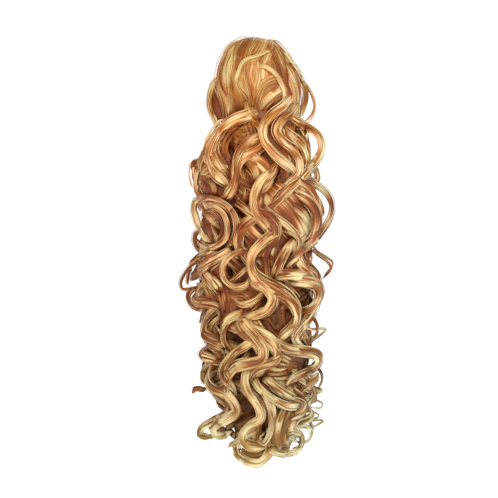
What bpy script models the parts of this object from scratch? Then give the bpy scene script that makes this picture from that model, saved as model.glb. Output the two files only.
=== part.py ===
"""Long curly ponytail hairpiece: a cup-shaped base cap with a comb, crown hair swept over it, and the curled fall.

Metres, +Z up. The origin is the centre of the cap's mouth, on the plane that lies against the head. The head is at +Y,
and the hair faces -Y and hangs down.
"""

import math

import bmesh
import bpy
import numpy as np
from mathutils import Vector

# Overall hair
LENGTH = 0.520
HALF_WIDTH = 0.079
FRONT_DEPTH = 0.088
BACK_DEPTH = 0.032

# Base cap: a cup of net with a flat sewn band round its mouth
CAP_RADIUS = 0.046
CAP_DEPTH = 0.044
CAP_WALL = 0.0018
BAND_WIDTH = 0.005
BAND_THICKNESS = 0.003
CAP_SIDES = 28
CAP_RINGS = 6

# Comb sewn inside the top of the mouth
COMB_HALF_ANGLE = math.radians(33)
COMB_SPINE = 0.0045
COMB_THICKNESS = 0.0022
COMB_TOOTH_LENGTH = 0.019
COMB_TOOTH_WIDTH = 0.0016
COMB_TEETH = 11
COMB_SETBACK = 0.0010

# Crown hair
CROWN_HAIR = 0.012
CROWN_SIDES = 52
CROWN_LEVELS = 12
CROWN_RIDGES = 13
CROWN_RELIEF = 0.0026

# Fall
FALL_SIDES = 18
FALL_LEVELS = 16
CORE_INSET = 0.019
CORE_RIDGES = 9
CORE_RELIEF = 0.003
LOCK_THICKNESS = 0.012
LOCK_SIDES = 6
RINGS_PER_TURN = 7
PITCH_TOP = 0.100
PITCH_BOTTOM = 0.064

GAP = 0.0003

# The hair's outline, a row for each level. "drop" is a share of LENGTH below the crown. The others are the reach to
# each side of the axis: left and right in shares of HALF_WIDTH, front of FRONT_DEPTH and back of BACK_DEPTH.
OUTLINE_COLUMNS = ("drop", "left", "right", "front", "back")
OUTLINE = (
    (0.22, 0.72, 0.74, 0.72, 0.10),
    (0.26, 0.84, 0.90, 0.84, 0.45),
    (0.31, 0.99, 0.94, 0.94, 0.75),
    (0.36, 1.02, 1.02, 0.98, 0.90),
    (0.42, 1.02, 1.16, 1.00, 1.00),
    (0.48, 0.99, 0.98, 1.00, 1.00),
    (0.56, 1.18, 1.06, 1.00, 1.00),
    (0.62, 1.08, 0.98, 0.98, 0.96),
    (0.69, 0.93, 0.94, 0.94, 0.90),
    (0.76, 0.94, 0.98, 0.90, 0.86),
    (0.83, 0.94, 0.97, 0.86, 0.80),
    (0.89, 0.86, 0.93, 0.78, 0.66),
    (0.95, 0.60, 0.72, 0.64, 0.36),
    (1.00, 0.30, 0.30, 0.40, 0.00),
)

# The crown's outline: "level" runs from its top, 0, to its foot, 1. wide and deep are shares of its half width and of
# its depth over the cap.
CROWN_COLUMNS = ("level", "wide", "deep")
CROWN = (
    (0.00, 0.20, 0.20),
    (0.06, 0.49, 0.46),
    (0.15, 0.62, 0.62),
    (0.24, 0.70, 0.75),
    (0.32, 0.78, 0.85),
    (0.41, 0.86, 0.93),
    (0.50, 0.95, 0.98),
    (0.58, 1.00, 1.02),
    (0.67, 1.04, 1.05),
    (0.75, 1.02, 1.06),
    (0.84, 0.97, 1.06),
    (0.92, 0.90, 1.06),
    (1.00, 0.90, 1.06),
)

# Main locks of the fall. angle is the side that it hangs on, in degrees: 0 front, 90 right, 180 back. end and crest
# are drops: where its tip is, and where one of its swings to the right is widest. swing and width are in shares of
# SWING and LOCK_WIDTH. hand is the way it winds, and lean tips each turn towards an open ring.
SWING = 0.021
LOCK_WIDTH = 0.027
LOCK_COLUMNS = ("name", "angle", "end", "crest", "swing", "width", "hand", "lean", "depth")
LOCKS = (
    ("front_middle", -9, 0.99, 0.455, 1.00, 1.10, 1, 0.10, 0.0),
    ("front_right", 30, 0.90, 0.314, 1.05, 1.00, 1, 0.10, 0.0),
    ("right_loop", 62, 0.88, 0.250, 1.10, 0.90, 1, 0.20, 0.0),
    ("right_side", 92, 0.92, 0.400, 1.00, 0.90, -1, 0.30, 0.0),
    ("front_left", -36, 0.90, 0.355, 1.00, 1.00, -1, 0.20, 0.0),
    ("left_ring", -64, 0.95, 0.440, 1.05, 0.90, 1, 0.70, 0.0),
    ("left_side", -94, 0.90, 0.500, 1.00, 0.90, -1, 0.30, 0.0),
    ("front_tail", 10, 1.00, 0.390, 0.90, 0.90, -1, 0.15, 0.25),
    ("back_left", -124, 0.92, 0.330, 0.90, 1.05, 1, 0.20, 0.0),
    ("back_left_middle", -160, 0.95, 0.380, 0.90, 1.05, -1, 0.20, 0.0),
    ("back_right_middle", 160, 0.93, 0.300, 0.90, 1.05, 1, 0.20, 0.0),
    ("back_right", 124, 0.90, 0.420, 0.90, 1.05, -1, 0.20, 0.0),
)

CROWN_HALF_WIDTH = CAP_RADIUS + BAND_WIDTH + CROWN_HAIR
CROWN_TOP = CAP_RADIUS + CROWN_HAIR
CROWN_FOOT = -(CAP_RADIUS + BAND_WIDTH + 10 * GAP)
CROWN_DEPTH = CAP_DEPTH + CROWN_HAIR
FIRST_DROP = OUTLINE[0][0]


def column(table, columns, name):
    """One named column of a table, as an array."""
    return np.array([row[columns.index(name)] for row in table], float)


def eased(at, places, values):
    """Values between a table's rows, on a smooth curve through them (a cubic with the rows' mean slopes)."""
    slopes = np.gradient(values, places)
    i = np.clip(np.searchsorted(places, at) - 1, 0, len(places) - 2)
    step = places[i + 1] - places[i]
    t = np.clip((at - places[i]) / step, 0.0, 1.0)
    return (
        values[i] * (1 + 2 * t) * (1 - t) ** 2
        + slopes[i] * step * t * (1 - t) ** 2
        + values[i + 1] * t * t * (3 - 2 * t)
        + slopes[i + 1] * step * t * t * (t - 1)
    )


def reach(drop):
    """How far the hair reaches from the axis at a drop: left, right, front and back, in metres."""
    places = column(OUTLINE, OUTLINE_COLUMNS, "drop")
    sizes = {"left": HALF_WIDTH, "right": HALF_WIDTH, "front": FRONT_DEPTH, "back": BACK_DEPTH}
    return [eased(drop, places, column(OUTLINE, OUTLINE_COLUMNS, side)) * size for side, size in sizes.items()]


def level_of(drop):
    """Height of a drop: the fall runs from a hair above the crown's foot at FIRST_DROP to the tips at 1."""
    top = CROWN_FOOT + 2 * GAP
    tips = CROWN_TOP - LENGTH
    return top + (drop - FIRST_DROP) / (1 - FIRST_DROP) * (tips - top)


def on_outline(drop, angle, inset):
    """Points at that drop and angle on the hair's outline, drawn in by inset. Each section is an ellipse."""
    left, right, front, back = reach(drop)
    half_width = np.maximum((left + right) / 2 - inset, inset / 4)
    half_depth = np.maximum((front + back) / 2 - inset, inset / 4)
    return np.stack(
        [
            (right - left) / 2 + half_width * np.sin(angle),
            (back - front) / 2 - half_depth * np.cos(angle),
            level_of(drop) + 0 * angle,
        ],
        axis=-1,
    )


def new_object(name, mesh, collection):
    made = bpy.data.objects.new(name, mesh)
    collection.objects.link(made)
    return made


def loft(name, rings, collection):
    """A closed body through rings of points, with a flat cap on each end. rings has the shape (levels, sides, 3)."""
    levels, sides, _ = rings.shape
    bm = bmesh.new()
    corners = [[bm.verts.new(point) for point in ring] for ring in rings]
    for lower, upper in zip(corners, corners[1:]):
        for side in range(sides):
            after = (side + 1) % sides
            bm.faces.new((lower[side], lower[after], upper[after], upper[side]))
    bm.faces.new(corners[0])
    bm.faces.new(corners[-1])
    bmesh.ops.triangulate(bm, faces=bm.faces)
    bmesh.ops.recalc_face_normals(bm, faces=bm.faces)
    mesh = bpy.data.meshes.new(name)
    bm.to_mesh(mesh)
    bm.free()
    return new_object(name, mesh, collection)


def keep_outside(mesh):
    """Fills the pockets that a union closes in: of a mesh's loose surfaces, only the largest stays."""
    bm = bmesh.new()
    bm.from_mesh(mesh)
    surfaces = []
    left = set(bm.verts)
    while left:
        edge_of = [left.pop()]
        surface = set(edge_of)
        while edge_of:
            for edge in edge_of.pop().link_edges:
                for vert in edge.verts:
                    if vert in left:
                        left.remove(vert)
                        surface.add(vert)
                        edge_of.append(vert)
        surfaces.append(surface)
    surfaces.sort(key=len)
    for surface in surfaces[:-1]:
        bmesh.ops.delete(bm, geom=list(surface), context="VERTS")
    bm.to_mesh(mesh)
    bm.free()


def combine(body, others, operation):
    """Joins other closed meshes to body, or cuts them from it, and removes them."""
    for other in others:
        modifier = body.modifiers.new(operation.title(), "BOOLEAN")
        modifier.operation = operation
        modifier.object = other
    bpy.context.view_layer.update()
    graph = bpy.context.evaluated_depsgraph_get()
    result = bpy.data.meshes.new_from_object(body.evaluated_get(graph))
    body.modifiers.clear()
    keep_outside(result)
    body.data = result
    for other in others:
        bpy.data.objects.remove(other)


def block(centre, size):
    """A box to cut with."""
    bpy.ops.mesh.primitive_cube_add(size=1, location=centre)
    made = bpy.context.object
    made.dimensions = size
    bpy.ops.object.transform_apply(location=False, rotation=False, scale=True)
    return made


def cap_profile(grow):
    """Radius and depth of the cup's outer side, from its mouth to its pole, a quarter of an ellipse grown by grow."""
    turn = np.linspace(0, math.pi / 2, CAP_RINGS)
    return (CAP_RADIUS + grow) * np.cos(turn), (CAP_DEPTH + grow) * np.sin(turn)


def turned(name, profile, collection):
    """A body turned about the Y axis, from (radius, y) pairs that begin and end on the axis."""
    mesh = bpy.data.meshes.new(name)
    mesh.from_pydata([(r, y, 0) for r, y in profile], [(i, i + 1) for i in range(len(profile) - 1)], [])
    made = new_object(name, mesh, collection)
    screw = made.modifiers.new("Turn", "SCREW")
    screw.axis = "Y"
    screw.steps = CAP_SIDES
    screw.render_steps = CAP_SIDES
    screw.use_merge_vertices = True
    screw.merge_threshold = 0.00001
    screw.use_normal_flip = True
    return made


def make_base_cap(collection):
    """The net cup, open to the head at +Y, with its flat band."""
    radii, depths = cap_profile(0)
    inner_radii, inner_depths = cap_profile(-CAP_WALL)
    outer = [(r, -d) for r, d in zip(radii[::-1], depths[::-1]) if d > BAND_THICKNESS]
    inner = [(r, -d) for r, d in zip(inner_radii, inner_depths)]
    band = [
        (CAP_RADIUS, -BAND_THICKNESS),
        (CAP_RADIUS + BAND_WIDTH, -BAND_THICKNESS),
        (CAP_RADIUS + BAND_WIDTH, 0),
    ]
    outer[0] = (0.0, outer[0][1])
    inner[-1] = (0.0, inner[-1][1])
    return turned("base_cap", outer + band + inner, collection)


def make_comb(collection):
    """A flat comb: its spine follows the cap's inner wall, and its teeth point down across the mouth's top."""
    radius = CAP_RADIUS - CAP_WALL - 4 * GAP
    arc = np.linspace(-COMB_HALF_ANGLE, COMB_HALF_ANGLE, 2 * COMB_TEETH + 1)
    top = [(radius * math.sin(a), radius * math.cos(a)) for a in arc]
    spine = radius - COMB_SPINE
    half_row = spine * math.sin(COMB_HALF_ANGLE) - COMB_TOOTH_WIDTH
    bottom = []
    for x in np.linspace(half_row, -half_row, COMB_TEETH):
        for step, drop, wide in ((1, 0, 0.5), (1, 1, 0.25), (-1, 1, 0.25), (-1, 0, 0.5)):
            at = x + step * wide * COMB_TOOTH_WIDTH
            bottom.append((at, math.sqrt(spine**2 - at**2) - drop * COMB_TOOTH_LENGTH))
    curve = bpy.data.curves.new("comb", "CURVE")
    curve.dimensions = "2D"
    curve.fill_mode = "BOTH"
    curve.extrude = COMB_THICKNESS / 2
    spline = curve.splines.new("POLY")
    outline = top + bottom
    spline.points.add(len(outline) - 1)
    for point, (x, z) in zip(spline.points, outline):
        point.co = (x, z, 0, 1)
    spline.use_cyclic_u = True
    made = bpy.data.objects.new("comb", curve)
    collection.objects.link(made)
    made.rotation_euler = (math.pi / 2, 0, 0)
    made.location = (0, -COMB_SETBACK - COMB_THICKNESS / 2, 0)
    return made


def make_crown_hair(collection):
    """The hair swept from the top down over the cap, in raised strips, hollow where the cap is."""
    level = np.linspace(0, 1, CROWN_LEVELS) ** 1.5
    angle = np.linspace(0, 2 * math.pi, CROWN_SIDES, endpoint=False)
    places = column(CROWN, CROWN_COLUMNS, "level")
    wide = eased(level, places, column(CROWN, CROWN_COLUMNS, "wide"))[:, None] * CROWN_HALF_WIDTH
    deep = eased(level, places, column(CROWN, CROWN_COLUMNS, "deep"))[:, None] * CROWN_DEPTH
    height = CROWN_TOP + (CROWN_FOOT - CROWN_TOP) * level[:, None]
    sway = 0.35 * np.sin(2 * math.pi * level)[:, None]
    relief = CROWN_RELIEF * np.cos(2 * CROWN_RIDGES * (angle[None, :] + sway)) * np.sin(math.pi * level)[:, None] ** 0.5
    rings = np.stack(
        [
            (wide + relief) * np.sin(angle),
            -(deep + relief) * np.cos(angle),
            height + 0 * angle[None, :],
        ],
        axis=-1,
    )
    crown = loft("crown_hair", rings, collection)
    radii, depths = cap_profile(GAP)
    back = 2 * CROWN_DEPTH
    hollow = [(r, -d) for r, d in zip(radii[::-1], depths[::-1]) if d > BAND_THICKNESS + GAP]
    hollow[0] = (0.0, hollow[0][1])
    hollow += [
        (CAP_RADIUS + GAP, -BAND_THICKNESS - GAP),
        (CAP_RADIUS + BAND_WIDTH + GAP, -BAND_THICKNESS - GAP),
        (CAP_RADIUS + BAND_WIDTH + GAP, back),
        (0.0, back),
    ]
    room = turned("cap_room", hollow, collection)
    behind = block((0, back / 2, 0), (2 * HALF_WIDTH, back, 2 * LENGTH))
    combine(crown, [room, behind], "DIFFERENCE")
    return crown


def lock_path(row, drop):
    """Centre line and outward direction of a lock: a helix about a line that follows the hair's outline."""
    angle = math.radians(row["angle"])
    swing = SWING * row["swing"]
    inset = swing + LOCK_THICKNESS / 2 + row["depth"] * CORE_INSET
    axis = on_outline(drop, np.full_like(drop, angle), inset)
    fall = drop - FIRST_DROP
    waves = LENGTH * (fall / PITCH_TOP + fall**2 / (2 * (1 - FIRST_DROP)) * (1 / PITCH_BOTTOM - 1 / PITCH_TOP))
    crest = np.interp(row["crest"], drop, waves)
    turn = 2 * math.pi * row["hand"] * (waves - crest)
    outward = np.array([math.sin(angle), -math.cos(angle), 0])
    sideways = np.array([math.cos(angle), math.sin(angle), 0])
    arm = np.cos(turn)[:, None] * sideways + np.sin(turn)[:, None] * outward
    arm = arm + row["lean"] * np.sin(turn)[:, None] * np.array([0, 0, 1])
    return axis + swing * arm, arm


def make_lock(row, collection):
    """A flat tapering lock, wound so that its broad side faces out from each turn."""
    waves = LENGTH * (row["end"] - FIRST_DROP) * (1 / PITCH_TOP + 1 / PITCH_BOTTOM) / 2
    drop = np.linspace(FIRST_DROP + 0.004, row["end"], int(waves * RINGS_PER_TURN) + 2)
    centre, arm = lock_path(row, drop)
    along = np.gradient(centre, axis=0)
    along /= np.linalg.norm(along, axis=1)[:, None]
    out = arm - (arm * along).sum(axis=1)[:, None] * along
    out /= np.linalg.norm(out, axis=1)[:, None]
    across = np.cross(along, out)
    share = (drop - drop[0]) / (drop[-1] - drop[0])
    taper = np.minimum(1, 0.25 + 5 * (1 - share)) * np.minimum(1, 0.6 + 3 * share)
    side = np.linspace(0, 2 * math.pi, LOCK_SIDES, endpoint=False)
    width = LOCK_WIDTH * row["width"] * taper
    thickness = LOCK_THICKNESS * taper
    rings = (
        centre[:, None, :]
        + (width[:, None] / 2 * np.cos(side))[:, :, None] * across[:, None, :]
        + (thickness[:, None] / 2 * np.sin(side))[:, :, None] * out[:, None, :]
    )
    return loft(row["name"], rings, collection)


def make_hair_fall(collection):
    """The hanging hair: an inner mass with waved ridges, and the main curled locks fused to it."""
    drop = np.linspace(FIRST_DROP, 0.95, FALL_LEVELS)[:, None]
    angle = np.linspace(0, 2 * math.pi, FALL_SIDES, endpoint=False)[None, :]
    sway = 0.30 * np.sin(2 * math.pi * LENGTH / PITCH_TOP * drop)
    inset = CORE_INSET * np.clip(0.2 + 9 * (drop - FIRST_DROP), 0, 1)
    inset = inset - CORE_RELIEF * np.cos(CORE_RIDGES * (angle + sway))
    core = loft("hair_fall", on_outline(drop + 0 * angle, angle + 0 * drop, inset), collection)
    locks = [make_lock(dict(zip(LOCK_COLUMNS, row)), collection) for row in LOCKS]
    combine(core, locks, "UNION")
    foot = CROWN_FOOT - GAP
    combine(core, [block((0, 0, foot + LENGTH / 2), (LENGTH, LENGTH, LENGTH))], "DIFFERENCE")
    return core


def finish(made, name, colour, roughness, metallic=0.0):
    """Gives a piece its material, and shades it smooth."""
    material = bpy.data.materials.new(name)
    material.use_nodes = True
    shader = material.node_tree.nodes["Principled BSDF"]
    shader.inputs["Base Color"].default_value = (*colour, 1)
    shader.inputs["Roughness"].default_value = roughness
    shader.inputs["Metallic"].default_value = metallic
    made.data.materials.clear()
    made.data.materials.append(material)
    if made.type == "MESH":
        made.data.shade_smooth()


def main():
    for old in list(bpy.data.objects):
        bpy.data.objects.remove(old)
    parts = bpy.data.collections.new("ponytail_hairpiece")
    bpy.context.scene.collection.children.link(parts)
    bpy.context.view_layer.active_layer_collection = bpy.context.view_layer.layer_collection.children[-1]
    finish(make_base_cap(parts), "cap_net", (0.16, 0.09, 0.05), 0.9)
    finish(make_comb(parts), "comb_plastic", (0.22, 0.12, 0.06), 0.35)
    finish(make_crown_hair(parts), "golden_hair", (0.52, 0.29, 0.12), 0.45)
    finish(make_hair_fall(parts), "curled_hair", (0.52, 0.29, 0.12), 0.45)


main()
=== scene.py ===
"""A long curled ponytail hairpiece that hangs from its net cup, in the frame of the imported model.

Metres, +Z up. The origin is the middle of the cup's mouth, the head is at +Y and the hair faces -Y.
"""

import math

import bpy
import numpy as np
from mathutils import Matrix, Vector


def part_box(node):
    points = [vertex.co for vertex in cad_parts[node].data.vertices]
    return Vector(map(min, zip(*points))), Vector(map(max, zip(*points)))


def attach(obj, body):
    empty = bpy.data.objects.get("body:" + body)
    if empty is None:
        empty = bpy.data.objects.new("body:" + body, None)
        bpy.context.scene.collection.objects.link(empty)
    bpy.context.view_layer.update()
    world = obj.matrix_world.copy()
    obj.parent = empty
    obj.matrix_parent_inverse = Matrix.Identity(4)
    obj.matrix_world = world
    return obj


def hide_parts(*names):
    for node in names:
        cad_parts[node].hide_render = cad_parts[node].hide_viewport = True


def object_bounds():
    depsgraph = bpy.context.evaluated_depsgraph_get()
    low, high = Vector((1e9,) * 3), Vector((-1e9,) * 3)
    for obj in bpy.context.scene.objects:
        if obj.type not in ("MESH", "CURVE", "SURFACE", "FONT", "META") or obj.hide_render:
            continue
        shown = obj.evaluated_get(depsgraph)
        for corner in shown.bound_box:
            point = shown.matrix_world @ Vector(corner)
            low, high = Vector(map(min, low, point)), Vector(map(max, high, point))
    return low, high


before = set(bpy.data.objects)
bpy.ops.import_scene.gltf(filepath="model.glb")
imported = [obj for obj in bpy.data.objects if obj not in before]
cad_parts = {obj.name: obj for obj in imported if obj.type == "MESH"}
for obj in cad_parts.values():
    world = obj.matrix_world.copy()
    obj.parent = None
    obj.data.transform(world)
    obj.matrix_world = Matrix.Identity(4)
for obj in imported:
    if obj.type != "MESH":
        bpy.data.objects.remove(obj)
cad_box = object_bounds()

# Studio. The camera is level with the middle of the hair and looks straight at its front through a long
# lens. The piece hangs over a pale floor in even white light, with a large soft lamp high at the front, a
# fill at the right and a lamp behind.
IMAGE_PIXELS = 498
HAIR_PIXELS = 431
ORIGIN_COLUMN = 259
ORIGIN_ROW = 84
CAMERA_DISTANCE = 2.6
SENSOR_MM = 36.0
FLOOR_DROP = 0.075
FLOOR_HALF = 3.0
AIR_SEEN = 1.05
AIR_LIGHT = 0.58

hair_top = cad_box[1].z
hair_tips = cad_box[0].z
hair_length = hair_top - hair_tips
hair_middle = (cad_box[0].y + cad_box[1].y) / 2
pixel = hair_length / HAIR_PIXELS


def linear(hex_colour):
    """An sRGB hex colour as linear red, green, blue and alpha."""
    shares = [int(hex_colour[i : i + 2], 16) / 255 for i in (1, 3, 5)]
    return (*[s / 12.92 if s <= 0.04045 else ((s + 0.055) / 1.055) ** 2.4 for s in shares], 1.0)


def add_node(tree, kind, settings=None, links=None):
    """Adds a node with settings, its properties or inputs by name or number, and links, its inputs'
    sources.
    """
    node = tree.nodes.new(kind)
    for name, value in (settings or {}).items():
        if isinstance(name, str) and hasattr(node, name):
            setattr(node, name, value)
        else:
            node.inputs[name].default_value = value
    for name, source in (links or {}).items():
        tree.links.new(source, node.inputs[name])
    return node


def new_material(name):
    """An empty node material, with its output."""
    material = bpy.data.materials.new(name)
    material.use_nodes = True
    material.node_tree.nodes.clear()
    return material, material.node_tree, material.node_tree.nodes.new("ShaderNodeOutputMaterial")


camera = bpy.data.objects.new("camera", bpy.data.cameras.new("camera"))
camera.data.sensor_width = SENSOR_MM
camera.data.lens = SENSOR_MM * CAMERA_DISTANCE / (IMAGE_PIXELS * pixel)
camera.location = (
    (IMAGE_PIXELS / 2 - ORIGIN_COLUMN) * pixel,
    hair_middle - CAMERA_DISTANCE,
    (ORIGIN_ROW - IMAGE_PIXELS / 2) * pixel,
)
camera.rotation_euler = (math.pi / 2, 0, 0)
bpy.context.scene.collection.objects.link(camera)
bpy.context.scene.camera = camera
bpy.context.scene.view_settings.view_transform = "Standard"

for name, place, size, power in (
    ("key_lamp", (-0.35, -1.7, 1.0), 0.5, 19.0),
    ("fill_lamp", (0.9, -1.4, 0.1), 0.8, 7.0),
    ("back_lamp", (0.3, 1.5, 0.9), 1.0, 12.0),
):
    lamp = bpy.data.objects.new(name, bpy.data.lights.new(name, "AREA"))
    lamp.data.size = size
    lamp.data.energy = power
    lamp.location = place
    aim = np.array([0.0, hair_middle, (hair_top + hair_tips) / 2]) - np.array(place)
    lamp.rotation_euler = (math.acos(-aim[2] / np.linalg.norm(aim)), 0, math.atan2(-aim[0], aim[1]))
    bpy.context.scene.collection.objects.link(lamp)

world = bpy.data.worlds.new("studio_air")
bpy.context.scene.world = world
world.use_nodes = True
world.node_tree.nodes.clear()
seen = add_node(world.node_tree, "ShaderNodeLightPath")
white_air = add_node(
    world.node_tree, "ShaderNodeBackground", {"Color": linear("#ffffff"), "Strength": AIR_SEEN}
)
soft_air = add_node(
    world.node_tree, "ShaderNodeBackground", {"Color": linear("#fffdf8"), "Strength": AIR_LIGHT}
)
air = add_node(
    world.node_tree,
    "ShaderNodeMixShader",
    None,
    {0: seen.outputs[0], 1: soft_air.outputs[0], 2: white_air.outputs[0]},
)
add_node(world.node_tree, "ShaderNodeOutputWorld", None, {"Surface": air.outputs[0]})

floor_mesh = bpy.data.meshes.new("floor")
floor_z = hair_tips - FLOOR_DROP
floor_corners = [(x * FLOOR_HALF, y * FLOOR_HALF, floor_z) for x, y in ((-1, -1), (1, -1), (1, 1), (-1, 1))]
floor_mesh.from_pydata(floor_corners, [], [(0, 1, 2, 3)])
floor = bpy.data.objects.new("floor", floor_mesh)
bpy.context.scene.collection.objects.link(floor)
paint, tree, output = new_material("pale_floor_paint")
coat = add_node(
    tree,
    "ShaderNodeBsdfPrincipled",
    {
        "Base Color": linear("#f4f3f1"),
        "Roughness": 0.9,
        "Emission Color": linear("#ffffff"),
        "Emission Strength": 0.8,
    },
)
tree.links.new(coat.outputs[0], output.inputs["Surface"])
floor_mesh.materials.append(paint)

# Net cup. A cup of brown knitted nylon net with a sewn band round its mouth, which goes over the wearer's
# bun. The matt yarn makes small square holes, painted dark as the shade seen through them.
NET_YARN = "#5b4230"
NET_HOLE_SHADE = "#2a1c13"
NET_PITCH_MM = 1.4


def ranged(tree, source, low, high, start=0.0, end=1.0):
    """A value that goes from start to end while its source goes from low to high."""
    return add_node(tree, "ShaderNodeMapRange", {1: low, 2: high, 3: start, 4: end}, {0: source}).outputs[0]


def mixed_colour(tree, share, first, second, blend="MIX"):
    """Two colours mixed by share. Each of the three is a value or another node's output."""
    node = add_node(tree, "ShaderNodeMix", {"data_type": "RGBA", "blend_type": blend})
    for place, given in ((0, share), (6, first), (7, second)):
        if isinstance(given, bpy.types.NodeSocket):
            tree.links.new(given, node.inputs[place])
        else:
            node.inputs[place].default_value = given
    return node.outputs[2]


net, tree, output = new_material("knitted_nylon_net")
place = add_node(tree, "ShaderNodeTexCoord")
pitch = add_node(
    tree,
    "ShaderNodeMapping",
    {"Scale": (1000 / NET_PITCH_MM,) * 3, "Rotation": (0, math.radians(45), 0)},
    {"Vector": place.outputs["Object"]},
)
cells = add_node(
    tree,
    "ShaderNodeTexVoronoi",
    {"feature": "DISTANCE_TO_EDGE", "Scale": 1.0, "Randomness": 0.25},
    {"Vector": pitch.outputs[0]},
)
yarn = ranged(tree, cells.outputs["Distance"], 0.04, 0.22, 1.0, 0.0)
# Painted shade: the holes between the yarn take a dark colour.
colour = mixed_colour(tree, yarn, linear(NET_HOLE_SHADE), linear(NET_YARN))
bump = add_node(tree, "ShaderNodeBump", {"Strength": 0.6, "Distance": 0.0004}, {"Height": yarn})
cloth = add_node(
    tree,
    "ShaderNodeBsdfPrincipled",
    {"Roughness": 0.85, "Sheen Weight": 0.2},
    {"Base Color": colour, "Normal": bump.outputs[0]},
)
tree.links.new(cloth.outputs[0], output.inputs["Surface"])
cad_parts["base_cap"].data.materials.clear()
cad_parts["base_cap"].data.materials.append(net)

# Comb. One moulded piece of brown nylon, sewn to the top of the mouth. Smooth and glossy, with faint flow
# marks along its teeth.
COMB_BROWN = "#5a3620"
COMB_SHADE = "#482a18"
COMB_MARK_MM = 6.0


def noise_at(tree, source, scale, detail, dimensions="2D"):
    """A noise on a map or on the object's own places, with scale as its marks to a metre along each axis.
    """
    pitch = add_node(tree, "ShaderNodeMapping", {"Scale": scale}, {"Vector": source})
    settings = {"noise_dimensions": dimensions, "Scale": 1.0, "Detail": detail}
    return add_node(tree, "ShaderNodeTexNoise", settings, {"Vector": pitch.outputs[0]}).outputs[0]


comb, tree, output = new_material("moulded_brown_nylon")
place = add_node(tree, "ShaderNodeTexCoord")
marks = (1000 / COMB_MARK_MM, 1000 / COMB_MARK_MM, 200 / COMB_MARK_MM)
flow = noise_at(tree, place.outputs["Object"], marks, 3.0, "3D")
colour = mixed_colour(tree, flow, linear(COMB_SHADE), linear(COMB_BROWN))
nylon = add_node(tree, "ShaderNodeBsdfPrincipled", {"Roughness": 0.28, "IOR": 1.53}, {"Base Color": colour})
tree.links.new(nylon.outputs[0], output.inputs["Surface"])
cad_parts["comb"].data.materials.clear()
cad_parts["comb"].data.materials.append(comb)

# Hair under the curls. The shorter and looser hair inside the fall, sewn to the cup with the rest. It shows
# between the outer locks as soft bands with dark hollows, so it is one closed form whose front is shaped by
# charted bands. Its base tone and its hollows are painted dark, as painted shade under the curls. The first
# table is the outside of the whole hair, which every lock follows: a row gives the reach in mm left and
# right of the origin's plane, in front of it and behind it, with the middle depth of that section.
OUTLINE_COLUMNS = ("z", "left", "right", "front", "middle", "back")
OUTLINE_MM = (
    (58, 6, 6, 8, 0, 1),
    (55, 22, 19, 18, 0, 1),
    (50, 34, 28, 30, 0, 1),
    (41, 43, 36, 40, 0, 1),
    (31, 47, 43, 46, 0, 1),
    (21, 51, 49, 51, 0, 1),
    (10, 56, 54, 55, 0, 1),
    (-2, 62, 58, 58, 0, 1),
    (-14, 64, 59, 60, 0, 1),
    (-27, 60, 57, 61, 0, 2),
    (-40, 54, 54, 63, -8, 4),
    (-55, 58, 58, 68, -18, 12),
    (-75, 66, 63, 76, -26, 22),
    (-105, 71, 67, 83, -28, 28),
    (-140, 73, 70, 86, -28, 31),
    (-190, 72, 70, 88, -28, 32),
    (-240, 75, 70, 88, -28, 32),
    (-290, 70, 66, 85, -28, 30),
    (-330, 66, 65, 80, -27, 27),
    (-370, 62, 64, 72, -25, 22),
    (-400, 54, 60, 64, -25, 14),
    (-430, 38, 50, 54, -25, 4),
    (-450, 22, 34, 42, -24, -6),
    (-467, 10, 16, 32, -24, -14),
)

# Hair deeper inside is painted darker, as painted shade. No section is thinner than the least reach and
# depth.
PAINTED_DEPTH_SHADE = 2.0
OUTER_SHARE = 0.90
PAINTED_DEPTH_LIMITS = (-0.9, 0.3)
LEAST_REACH = 0.002
LEAST_DEPTH = 0.01
LEAST_LENGTH = 1e-9


def column(table, columns, name):
    """One named column of a table, as an array."""
    return np.array([row[columns.index(name)] for row in table], float)


def eased(at, places, values):
    """Values between a table's rows, on a cubic through them that has the rows' mean slopes."""
    slopes = np.gradient(values, places)
    i = np.clip(np.searchsorted(places, at, side="right") - 1, 0, len(places) - 2)
    step = places[i + 1] - places[i]
    t = np.clip((at - places[i]) / step, 0.0, 1.0)
    return (
        values[i] * (1 + 2 * t) * (1 - t) ** 2
        + slopes[i] * step * t * (1 - t) ** 2
        + values[i + 1] * t * t * (3 - 2 * t)
        + slopes[i + 1] * step * t * t * (t - 1)
    )


def reach(z, side):
    """How far the hair's outside is from the origin's plane on a side at height z, in metres."""
    order = slice(None, None, -1)
    places = column(OUTLINE_MM, OUTLINE_COLUMNS, "z")[order] / 1000
    return eased(z, places, column(OUTLINE_MM, OUTLINE_COLUMNS, side)[order] / 1000)


def on_mass(z, angle, inset):
    """Points on the hair's outside, less inset, at height z and an angle, 0 at the front and 90 at the
    right.

    Each section is four quarter ovals that meet at the side points, which lie at the section's middle
    depth.
    """
    middle = reach(z, "middle")
    wide = np.where(np.sin(angle) > 0, reach(z, "right"), reach(z, "left")) - inset
    deep = np.where(np.cos(angle) > 0, reach(z, "front") + middle, reach(z, "back") - middle) - inset
    x = np.maximum(wide, LEAST_REACH) * np.sin(angle)
    y = middle - np.maximum(deep, LEAST_REACH) * np.cos(angle)
    return np.stack([x, y, z + 0 * x], axis=-1)


def front_of(x, z):
    """Depth y of the hair's front at x and z: on the section's oval, and at its middle beyond its sides."""
    wide = np.where(x > 0, reach(z, "right"), reach(z, "left"))
    share = np.clip(np.abs(x) / wide, 0, 1)
    return reach(z, "middle") - (reach(z, "front") + reach(z, "middle")) * np.sqrt(1 - share**2)


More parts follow.
